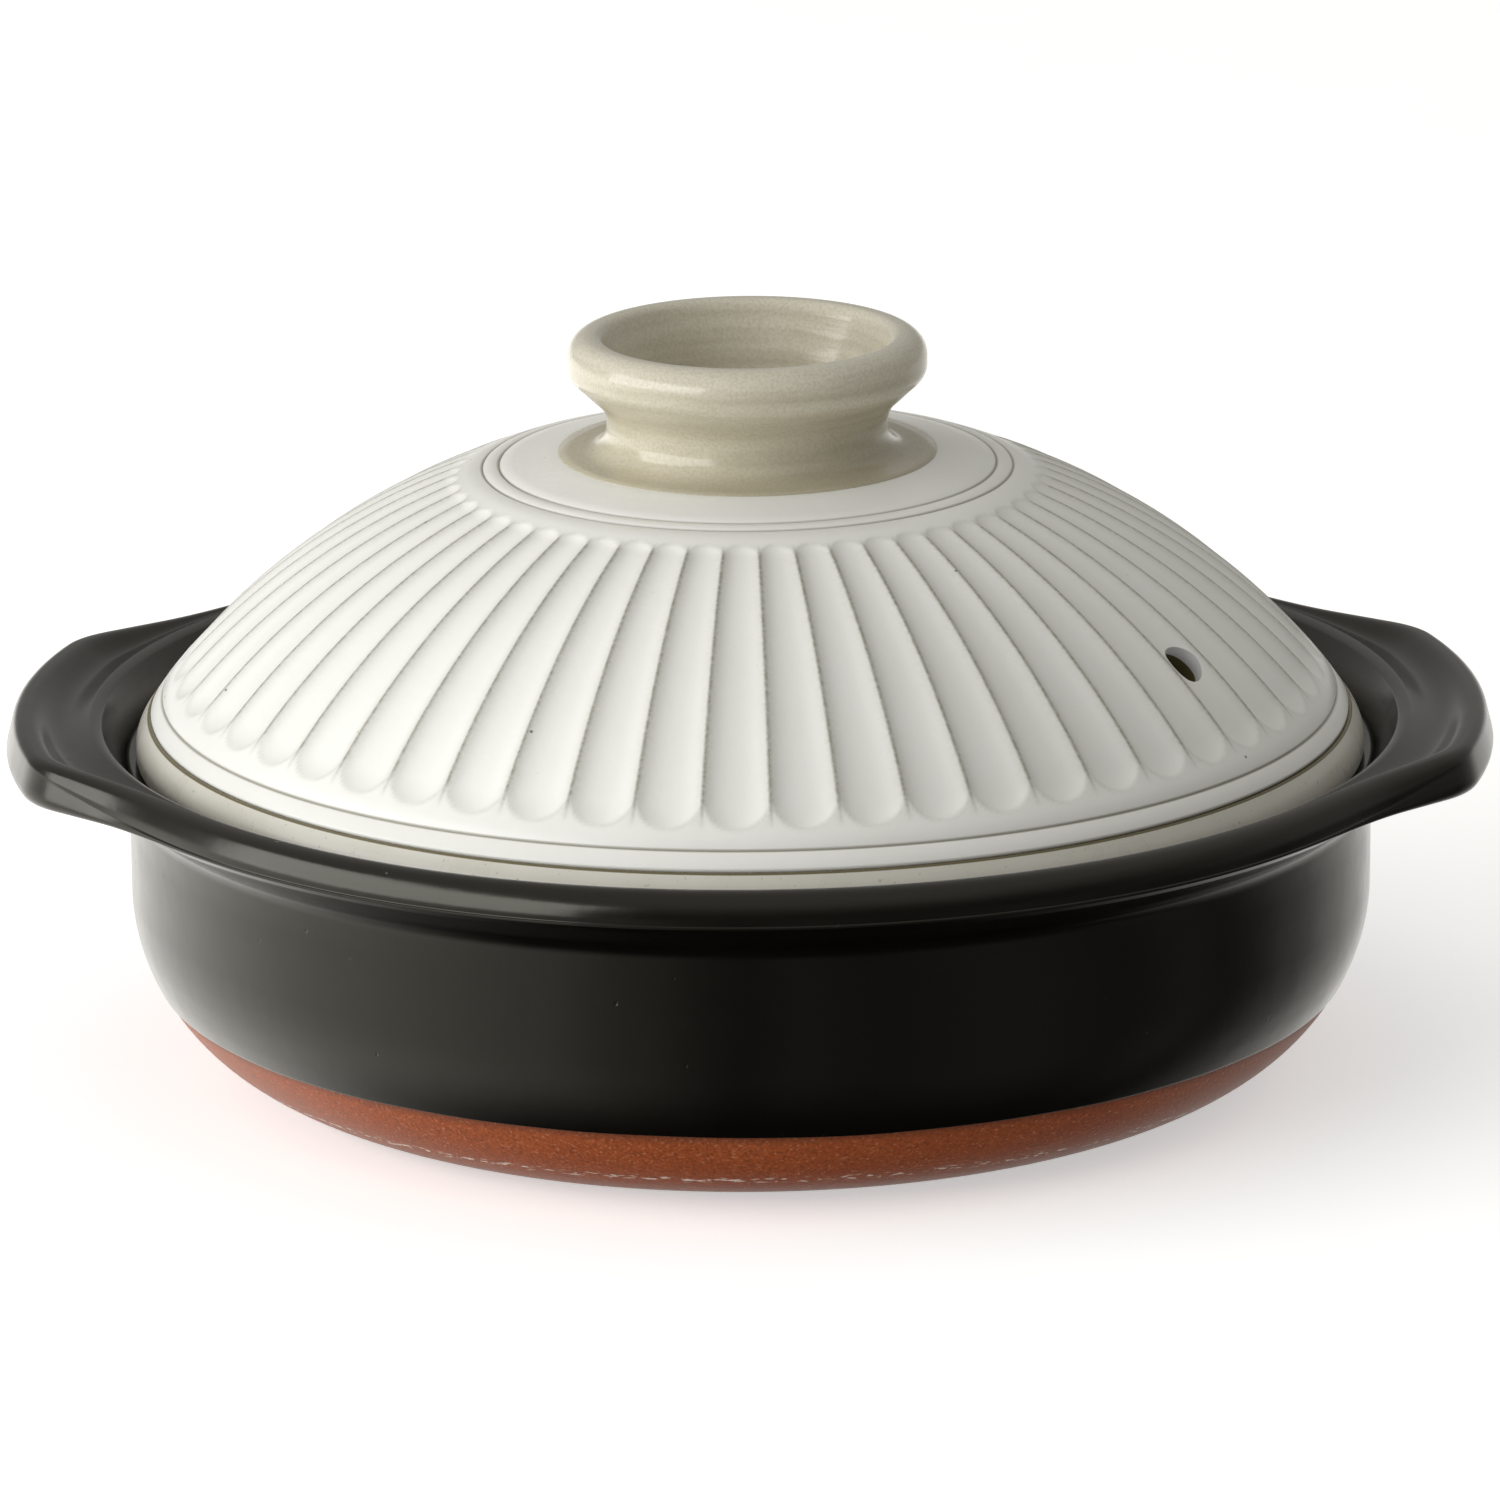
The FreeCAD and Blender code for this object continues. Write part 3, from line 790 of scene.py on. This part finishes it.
def make_sector():
    sunk, outward, beyond, station, line = sector_rows()
    hidden = middle_rows()
    shares = column_shares()
    columns = len(shares)
    reach = flute_reach(station)
    across = shares[:, None] * PITCH * sunk[:, 0]
    ridge = (0.5 - np.abs(shares))[:, None] * PITCH * sunk[:, 0]
    distance = np.hypot(across, beyond) / reach
    hollow = 2 * reach * FLUTE_DEPTH * np.clip(1 - distance ** FLUTE_FULLNESS, 0, 1)
    skin = sunk - outward * hollow[..., None]
    rows = np.concatenate([same_all_round(hidden[1:], columns), skin], axis=1)
    ends = [(0, 0, hidden[0, 1]), (0, 0, CROWN)]
    vertices = np.concatenate([swung(rows, (shares * PITCH)[:, None]).reshape(-1, 3), ends]) * MM
    faces = faces_between(columns, rows.shape[1], closed=False)
    sector = new_piece("fluted_dome", vertices.tolist(), faces)
    # thin holds the ridges' thin glaze with their painted shade, and the painted shade round the flute
    # ends; line holds the grooves' painted shade
    marks = {"thin": thin_glaze_and_shade_share(ridge, across, distance, beyond, reach),
             "line": same_all_round(line, columns)}
    unmarked = np.zeros((columns, len(hidden) - 1))
    for name, values in marks.items():
        mark = sector.data.attributes.new(name, "FLOAT", "POINT")
        mark.data.foreach_set("value", np.append(np.concatenate([unmarked, values], axis=1), [0, 0]))
    return sector


# %% A tree of nodes that repeats a sector round the axis
def repeat_tree():
    tree = bpy.data.node_groups.new("repeat_round_the_axis", "GeometryNodeTree")
    sockets = (("Sector", "NodeSocketGeometry"), ("Copies", "NodeSocketInt"),
               ("First Angle", "NodeSocketFloat"), ("Weld Distance", "NodeSocketFloat"),
               ("Unevenness", "NodeSocketFloat"), ("Uneven Scale", "NodeSocketFloat"),
               ("Seed", "NodeSocketFloat"), ("Glaze", "NodeSocketMaterial"))
    for name, kind in sockets:
        tree.interface.new_socket(name, in_out="INPUT", socket_type=kind)
    tree.interface.new_socket("Lid", in_out="OUTPUT", socket_type="NodeSocketGeometry")
    given = add(tree, "NodeGroupInput").outputs
    spots = add(tree, "GeometryNodePoints", {"Count": given["Copies"]})
    step = add(tree, "ShaderNodeMath", {0: 2 * math.pi, 1: given["Copies"]}, operation="DIVIDE")
    number = add(tree, "GeometryNodeInputIndex")
    turn = add(tree, "ShaderNodeMath", {0: number, 1: step, 2: given["First Angle"]},
               operation="MULTIPLY_ADD")
    about_axis = add(tree, "ShaderNodeCombineXYZ", {"Z": turn})
    rotation = add(tree, "FunctionNodeEulerToRotation", {"Euler": about_axis})
    copies = add(tree, "GeometryNodeInstanceOnPoints", {
        "Points": spots, "Instance": given["Sector"], "Rotation": rotation})
    real = add(tree, "GeometryNodeRealizeInstances", {"Geometry": copies})
    welded = add(tree, "GeometryNodeMergeByDistance", {
        "Geometry": real, "Distance": given["Weld Distance"]})
    noise = add(tree, "ShaderNodeTexNoise", {
        "W": given["Seed"], "Scale": given["Uneven Scale"], "Detail": 1.0}, noise_dimensions="4D")
    lift = add(tree, "ShaderNodeMath", {0: noise, 1: -0.5}, operation="ADD")
    height = add(tree, "ShaderNodeMath", {0: lift, 1: given["Unevenness"]}, operation="MULTIPLY")
    normal = add(tree, "GeometryNodeInputNormal")
    offset = add(tree, "ShaderNodeVectorMath", {0: normal, "Scale": height}, operation="SCALE")
    uneven = add(tree, "GeometryNodeSetPosition", {"Geometry": welded, "Offset": offset})
    smooth = add(tree, "GeometryNodeSetShadeSmooth", {"Geometry": uneven})
    glazed = add(tree, "GeometryNodeSetMaterial", {"Geometry": smooth, "Material": given["Glaze"]})
    add(tree, "NodeGroupOutput", {"Lid": glazed})
    return tree


# %% Repeat the sector
FIRST_FLUTE = math.radians(-91.33)
WELD_DISTANCE = 0.002
UNEVENNESS = 0.12
UNEVEN_SIZE = 25.0
UNEVEN_SEED = 7.0


def make_dome():
    dome = make_sector()
    tree = repeat_tree()
    modifier = dome.modifiers.new("flutes", "NODES")
    modifier.node_group = tree
    values = {"Copies": FLUTES, "First Angle": FIRST_FLUTE, "Weld Distance": WELD_DISTANCE * MM,
              "Unevenness": UNEVENNESS * MM, "Uneven Scale": per_metre(UNEVEN_SIZE), "Seed": UNEVEN_SEED,
              "Glaze": white_glaze}
    for item in tree.interface.items_tree:
        if item.in_out == "INPUT" and item.name in values:
            modifier[item.identifier] = values[item.name]
    mesh = evaluated_mesh(dome)
    dome.modifiers.remove(modifier)
    dome.data = mesh
    mesh.name = "fluted_dome"
    return dome


fluted_dome = make_dome()
report(fluted_dome)

# %% [markdown]
# ## Skirt and inside of the lid
# Below the low groove the glaze was wiped back, so the skirt that drops into the rim shows the
# greyish beige of a thin clear glaze over the clay, and so does the inside. The skirt is a piece of
# its own, with a finish of its own, and meets the dome in the groove and inside the wall. Glaze has
# gathered to a thin olive line under the groove.

# %% Thin clear glaze over pale clay
CLEAR_CLOUD = 12
CLEAR_GRAIN = 1.1
OLIVE_START, OLIVE_END = 0.78, 0.66


def thin_clear_glaze():
    material, tree, shader, place = new_material("thin_clear_glaze")
    height = add(tree, "ShaderNodeSeparateXYZ", {"Vector": place}).outputs["Z"]
    cloud = add(tree, "ShaderNodeTexNoise", {
        "Vector": place, "Scale": per_metre(CLEAR_CLOUD), "Detail": 5.0})
    olive = add(tree, "ShaderNodeMapRange", {
        "Value": height, "From Min": (LOW_GROOVE[1] - OLIVE_START) * MM,
        "From Max": (LOW_GROOVE[1] - OLIVE_END) * MM})
    grain = add(tree, "ShaderNodeTexNoise", {
        "Vector": place, "Scale": per_metre(CLEAR_GRAIN), "Detail": 3.0})
    specks = add(tree, "ShaderNodeMapRange", {
        "Value": grain, "From Min": 0.66, "From Max": 0.74, "To Max": 0.5})
    coats = [(cloud, "#E5E2D8"), (olive, "#6E6546"), (specks, "#857A63")]
    reliefs = [(grain, 0.12, 0.2)]
    apply_finish(tree, shader, "#D6D2C5", coats, (cloud, 0.22, 0.36), reliefs, GLASS_IOR)
    return material


clear_glaze = thin_clear_glaze()
print("made", clear_glaze.name)

# %% Skirt and inside
SKIRT_FOOT_WIDTH = 9.5
SKIRT_FOOT_ROUNDING = 2.0
SKIRT_INSIDE_RISE = 8
SKIRT_INSIDE_ROUNDING = 1.0
SKIRT_TOP = 70.0
SKIRT_ROUNDING = 9.0
SKIRT_EDGE = (LOW_GROOVE[0] + 0.3, LOW_GROOVE[1] - 0.35, 0.2)
GROOVE_BOTTOM = (LOW_GROOVE[0] - 0.6, LOW_GROOVE[1] - 0.5)
SKIRT_ROWS, INSIDE_ROWS = 10, 24
DOME_CLEARANCE = 0.05
LID_COLUMNS = 320


def skirt_section():
    inside = LID_RADIUS - SKIRT_FOOT_WIDTH
    outside = rounded([
        (inside, LID_SEAT + SKIRT_INSIDE_RISE),
        (inside, LID_SEAT, SKIRT_INSIDE_ROUNDING),
        (LID_RADIUS, LID_SEAT, SKIRT_FOOT_ROUNDING),
        (LID_RADIUS, SKIRT_TOP, SKIRT_ROUNDING),
        SKIRT_EDGE,
        GROOVE_BOTTOM,
    ], SKIRT_ROWS)
    return np.concatenate([
        [(0, CROWN - LID_WALL), (knob_high.x, CROWN - LID_WALL)],
        dome_arc(LID_WALL, INSIDE_ROWS, down=True),
        outside,
        middle_rows()[::-1] - (0, DOME_CLEARANCE),
    ])


skirt_sections = same_all_round(skirt_section(), LID_COLUMNS)
lid_skirt = dressed(turned("clear_glazed_skirt", skirt_sections), clear_glaze)

# %% [markdown]
# ## Steam hole
# One flute has a round hole right through, square to the dome, to let steam out. A Boolean modifier
# with a round bar as its cutter drills the dome and the skirt's inner wall in line. The bar is only
# a tool: it is deleted when both holes are made.

# %% Drill the steam hole
HOLE_RADIUS = 4.5
HOLE_PLACE = 101.8
HOLE_FLUTE = 9
HOLE_SIDES = 48
BAR_INSIDE, BAR_OUTSIDE = -20, 8
SHARP_ANGLE = math.radians(50)


def hole_frame():
    """The middle of the hole on the dome, and its direction, as a matrix whose Z points outwards."""
    centre, radius = dome_circle()
    height = centre[1] + math.sqrt(radius ** 2 - (HOLE_PLACE - centre[0]) ** 2)
    tilt = math.atan2(HOLE_PLACE - centre[0], height - centre[1])
    turn = Matrix.Rotation(FIRST_FLUTE + HOLE_FLUTE * PITCH, 4, "Z")
    return turn @ Matrix.Translation(Vector((HOLE_PLACE, 0, height)) * MM) @ Matrix.Rotation(tilt, 4, "Y")


def drill(pieces):
    outline = [(0, BAR_INSIDE), (HOLE_RADIUS, BAR_INSIDE), (HOLE_RADIUS, BAR_OUTSIDE), (0, BAR_OUTSIDE)]
    bar = turned("bar", same_all_round(np.array(outline, float), HOLE_SIDES))
    bar.data.transform(hole_frame())
    for piece in pieces:
        cut = piece.modifiers.new("steam_hole", "BOOLEAN")
        cut.object = bar
        cut.solver = "EXACT"
        mesh = evaluated_mesh(piece)
        piece.modifiers.remove(cut)
        piece.data = mesh
        mesh.set_sharp_from_angle(angle=SHARP_ANGLE)
        mesh.name = piece.name
        report(piece)
    bpy.data.objects.remove(bar)


drill([fluted_dome, lid_skirt])

# %% [markdown]
# ## Knob
# The knob is a hollow ring on a swept foot, thrown on the wheel. Its ash glaze is a glossy khaki
# beige: thin and pale on the lip, thicker and darker towards the foot, with fine speckles and soft
# rings from the fingers. The ring is turned as one outline, with a pool of glaze as its floor.

# %% Khaki ash glaze
ASH_IOR = 1.52
ASH_CLOUD = 9
ASH_GRAIN = 0.6
ASH_RING = 3.0
ASH_SPECK_GAP = 8


def khaki_ash_glaze():
    material, tree, shader, place = new_material("khaki_ash_glaze")
    height = add(tree, "ShaderNodeSeparateXYZ", {"Vector": place}).outputs["Z"]
    up = add(tree, "ShaderNodeMapRange", {
        "Value": height, "From Min": CROWN * MM, "From Max": knob_high.z * MM})
    cloud = add(tree, "ShaderNodeTexNoise", {
        "Vector": place, "Scale": per_metre(ASH_CLOUD), "Detail": 5.0})
    thin = add(tree, "ShaderNodeMath", {0: cloud, 1: 0.6, 2: -0.3}, operation="MULTIPLY_ADD")
    pale = add(tree, "ShaderNodeMath", {0: up, 1: thin}, operation="ADD", use_clamp=True)
    grain = add(tree, "ShaderNodeTexNoise", {
        "Vector": place, "Scale": per_metre(ASH_GRAIN), "Detail": 3.0})
    mottle = add(tree, "ShaderNodeMapRange", {
        "Value": grain, "From Min": 0.4, "From Max": 0.7, "To Max": 0.25})
    stretched = add(tree, "ShaderNodeMapping", {"Vector": place, "Scale": (0.05, 0.05, 1.0)})
    rings = add(tree, "ShaderNodeTexNoise", {
        "Vector": stretched, "Scale": per_metre(ASH_RING), "Detail": 2.0})
    pooled = add(tree, "ShaderNodeMapRange", {
        "Value": rings, "From Min": 0.6, "From Max": 0.35, "To Max": 0.35})
    cells = add(tree, "ShaderNodeTexVoronoi", {"Vector": place, "Scale": per_metre(ASH_SPECK_GAP)})
    specks = add(tree, "ShaderNodeMapRange", {
        "Value": cells, "From Min": 0.02, "From Max": 0.04, "To Min": 0.8, "To Max": 0.0})
    coats = [(pale, "#D8D3C1"), (pooled, "#A2977C"), (mottle, "#8B8068"), (specks, "#4B4233")]
    reliefs = [(rings, 0.3, 0.5), (grain, 0.08, 0.2)]
    apply_finish(tree, shader, "#C8C1AA", coats, (cloud, 0.08, 0.2), reliefs, ASH_IOR)
    return material


ash_glaze = khaki_ash_glaze()
print("made", ash_glaze.name)

# %% Ring knob
KNOB_FOOT_EDGE = CROWN + 0.15
KNOB_WAIST_RADIUS = 28.6
KNOB_SWEEP = (KNOB_WAIST_RADIUS, CROWN + 0.4, 5.2)
KNOB_WAIST = (KNOB_WAIST_RADIUS, CROWN + 9.0, 6.5)
KNOB_LIP = 36.6
KNOB_LIP_UNDER = (KNOB_LIP, CROWN + 16.4, 4.0)
KNOB_LIP_TOP = (KNOB_LIP, knob_high.z, 4.6)
KNOB_MOUTH = (29.8, knob_high.z - 0.2, 2.4)
KNOB_HOLLOW = (21.5, CROWN + 8.5, 8.0)
KNOB_POOL = CROWN + 1.2
KNOB_POOL_EDGE = (KNOB_HOLLOW[0] - 0.6, KNOB_POOL, 4.0)
KNOB_ROWS = 14
KNOB_ROW_GAP = 4.0
KNOB_COLUMNS = 256


def knob_section():
    foot = knob_high.x
    outline = rounded([
        (0, CROWN), (foot, CROWN), (foot, KNOB_FOOT_EDGE), KNOB_SWEEP, KNOB_WAIST, KNOB_LIP_UNDER,
        KNOB_LIP_TOP, KNOB_MOUTH, KNOB_HOLLOW, KNOB_POOL_EDGE, (0, KNOB_POOL),
    ], KNOB_ROWS)
    return filled(outline, KNOB_ROW_GAP)


knob_sections = same_all_round(knob_section(), KNOB_COLUMNS)
ring_knob = dressed(turned("ring_knob", knob_sections), ash_glaze)

# %% [markdown]
# ## What moves with what
# The bowl and its foot stay on the table, and the dome, the skirt and the knob lift together. Each
# piece rides on its body, stands for the solids that it covers, and is listed with the name of a finish.

# %% Tie the pieces to the frame
ties = (
    (glazed_bowl, "pot", ("bowl", "left_lug", "right_lug"), "black_glaze"),
    (clay_foot, "pot", ("bowl",), "bare_clay"),
    (fluted_dome, "lid", ("lid_dome",), "white_glaze"),
    (lid_skirt, "lid", ("lid_skirt", "lid_dome"), "clear_glaze"),
    (ring_knob, "lid", ("lid_knob",), "straw_glaze"),
)
for piece, body, nodes, slot in ties:
    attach(piece, body)
    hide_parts(*nodes)
    print(piece.name, "rides on", body)

# %% [markdown]
# ## Studio
# The pot stands on white paper. One wide softbox at the front left is the main light, and a pale
# ceiling fills the shadows. The black glaze doesn't mirror the paper itself: it mirrors the lower half
# of the room, which is bright behind the pot and on its left, and dark at the front and on the right.
# That gives the wall its broad soft sheen on the left, a thin one on the right and a black front.
# Sizes of the studio are in metres, apart from the pattern of the paper.

# %% White paper floor
PAPER_SIZE = 8.0
PAPER_CLOUD = 40
PAPER_GLOW = 0.5


def white_paper():
    material, tree, shader, place = new_material("white_paper")
    cloud = add(tree, "ShaderNodeTexNoise", {
        "Vector": place, "Scale": per_metre(PAPER_CLOUD), "Detail": 3.0})
    tone = add(tree, "ShaderNodeMix", {0: cloud, 6: srgb("#F8F8F7"), 7: srgb("#FCFCFB")},
               data_type="RGBA")
    tree.links.new(tone.outputs[2], shader.inputs["Base Color"])
    seen = add(tree, "ShaderNodeLightPath").outputs["Is Camera Ray"]
    glow = add(tree, "ShaderNodeMath", {0: seen, 1: PAPER_GLOW}, operation="MULTIPLY")
    tree.links.new(glow.outputs["Value"], shader.inputs["Emission Strength"])
    shader.inputs["Emission Color"].default_value = srgb("#FFFFFF")
    shader.inputs["Roughness"].default_value = 1.0
    shader.inputs["Specular IOR Level"].default_value = 0.0
    return material


def make_paper():
    half = PAPER_SIZE / 2
    corners = [(-half, -half, 0), (half, -half, 0), (half, half, 0), (-half, half, 0)]
    paper = dressed(new_piece("paper", corners, [(0, 1, 2, 3)]), white_paper())
    paper.visible_glossy = False


make_paper()

# %% Softbox
SOFTBOX_PLACE = Vector((-1.407, -0.747, 0.517))
SOFTBOX_AIM = Vector((0, 0, 0.09))
SOFTBOX_WIDTH = 2.2
SOFTBOX_HEIGHT = 1.05
SOFTBOX_RADIANCE = 3.65


def make_softbox():
    """A soft panel of even brightness: its power follows from its size."""
    lamp = bpy.data.lights.new("softbox", "AREA")
    lamp.shape = "RECTANGLE"
    lamp.size = SOFTBOX_WIDTH
    lamp.size_y = SOFTBOX_HEIGHT
    lamp.energy = SOFTBOX_RADIANCE * math.pi * SOFTBOX_WIDTH * SOFTBOX_HEIGHT
    softbox = bpy.data.objects.new("softbox", lamp)
    bpy.context.scene.collection.objects.link(softbox)
    softbox.location = SOFTBOX_PLACE
    softbox.rotation_euler = (SOFTBOX_AIM - SOFTBOX_PLACE).to_track_quat("-Z", "Y").to_euler()
    softbox.visible_camera = False
    print("softbox %.1f W" % lamp.energy)


make_softbox()

# %% [markdown]
# ## The room
# The world is the rest of the studio. Its lower half gets a level for each direction round the pot,
# from far away from the bright side (0) to right at it (1). Its walls go from dark in front to paler
# behind, and blend into the ceiling. Heights are sines of the angle above level. The camera itself
# sees plain white.

# %% Light of the room
LOW_AXIS = (-0.75, 0.66, 0.0)
LOW_LEVELS = ((0.0, 0.12), (0.04, 0.07), (0.12, 0.13), (0.17, 0.05), (0.25, 0.12), (0.3, 0.25),
              (0.38, 0.32), (0.44, 0.55), (0.55, 0.72), (0.89, 1.35), (1.0, 1.75))
FRONT_LEVEL = 0.08
BACK_LEVEL = 0.36
CEILING_LEVEL = 0.55
ROOM_WHITE = "#FFFDF8"


def low_room(tree, level, height):
    """The lower half of the room, by direction, dark straight below."""
    side = add(tree, "ShaderNodeVectorMath", {0: level, 1: LOW_AXIS}, operation="DOT_PRODUCT")
    share = add(tree, "ShaderNodeMapRange", {"Value": side.outputs["Value"], "From Min": -1.0})
    ramp = add(tree, "ShaderNodeValToRGB", {"Fac": share})
    stops = ramp.color_ramp.elements
    for place, _ in LOW_LEVELS[1:-1]:
        stops.new(place)
    for stop, (place, strength) in zip(stops, LOW_LEVELS):
        stop.position = place
        stop.color = (strength, strength, strength, 1)
    under = add(tree, "ShaderNodeMapRange", {"Value": height, "From Min": -0.95, "From Max": -0.55},
                interpolation_type="SMOOTHSTEP")
    return add(tree, "ShaderNodeMath", {0: ramp, 1: under}, operation="MULTIPLY")


def high_room(tree, level, height):
    """The walls and the ceiling."""
    depth = add(tree, "ShaderNodeSeparateXYZ", {"Vector": level}).outputs["Y"]
    walls = add(tree, "ShaderNodeMapRange", {
        "Value": depth, "From Min": -0.7, "From Max": 0.6, "To Min": FRONT_LEVEL, "To Max": BACK_LEVEL},
        interpolation_type="SMOOTHSTEP")
    overhead = add(tree, "ShaderNodeMapRange", {"Value": height, "From Min": 0.2, "From Max": 0.8},
                   interpolation_type="SMOOTHSTEP")
    return add(tree, "ShaderNodeMix", {0: overhead, 2: walls, 3: CEILING_LEVEL}, data_type="FLOAT")


def room_light():
    world = bpy.data.worlds.new("room")
    bpy.context.scene.world = world
    world.use_nodes = True
    tree = world.node_tree
    direction = add(tree, "ShaderNodeTexCoord").outputs["Generated"]
    height = add(tree, "ShaderNodeSeparateXYZ", {"Vector": direction}).outputs["Z"]
    flat = add(tree, "ShaderNodeVectorMath", {0: direction, 1: (1, 1, 0)}, operation="MULTIPLY")
    level = add(tree, "ShaderNodeVectorMath", {0: flat}, operation="NORMALIZE")
    above = add(tree, "ShaderNodeMapRange", {"Value": height, "From Min": -0.1, "From Max": 0.1},
                interpolation_type="SMOOTHSTEP")
    around = add(tree, "ShaderNodeMix", {
        0: above, 2: low_room(tree, level, height), 3: high_room(tree, level, height)},
        data_type="FLOAT")
    seen = add(tree, "ShaderNodeLightPath").outputs["Is Camera Ray"]
    shown = add(tree, "ShaderNodeMix", {0: seen, 2: around, 3: 1.0}, data_type="FLOAT")
    background = tree.nodes["Background"]
    tree.links.new(shown.outputs[0], background.inputs["Strength"])
    background.inputs["Color"].default_value = srgb(ROOM_WHITE)
    print("made", world.name)


room_light()

# %% [markdown]
# ## Camera
# The photograph was taken from about two metres, a little above the pot, with a long lens. The
# camera looks at the middle of the pot near its rim, and is rolled by half a degree, as it was.

# %% Camera
TARGET = Vector((0, 0, 64)) * MM
DISTANCE = 2.032
RISE = math.radians(15.8)
ROLL = math.radians(-0.46)
SENSOR = 36.0
IMAGE_WIDTH = 1500
FOCAL_PIXELS = 9920


def make_camera():
    camera = bpy.data.objects.new("camera", bpy.data.cameras.new("camera"))
    bpy.context.scene.collection.objects.link(camera)
    camera.data.sensor_width = SENSOR
    camera.data.lens = FOCAL_PIXELS / IMAGE_WIDTH * SENSOR
    place = TARGET + Vector((0, -math.cos(RISE), math.sin(RISE))) * DISTANCE
    turn = Matrix.Rotation(math.pi / 2 - RISE, 4, "X") @ Matrix.Rotation(ROLL, 4, "Z")
    camera.matrix_world = Matrix.Translation(place) @ turn
    bpy.context.scene.camera = camera
    print("lens %.1f mm" % camera.data.lens)


make_camera()
bpy.context.scene.view_settings.view_transform = "Standard"
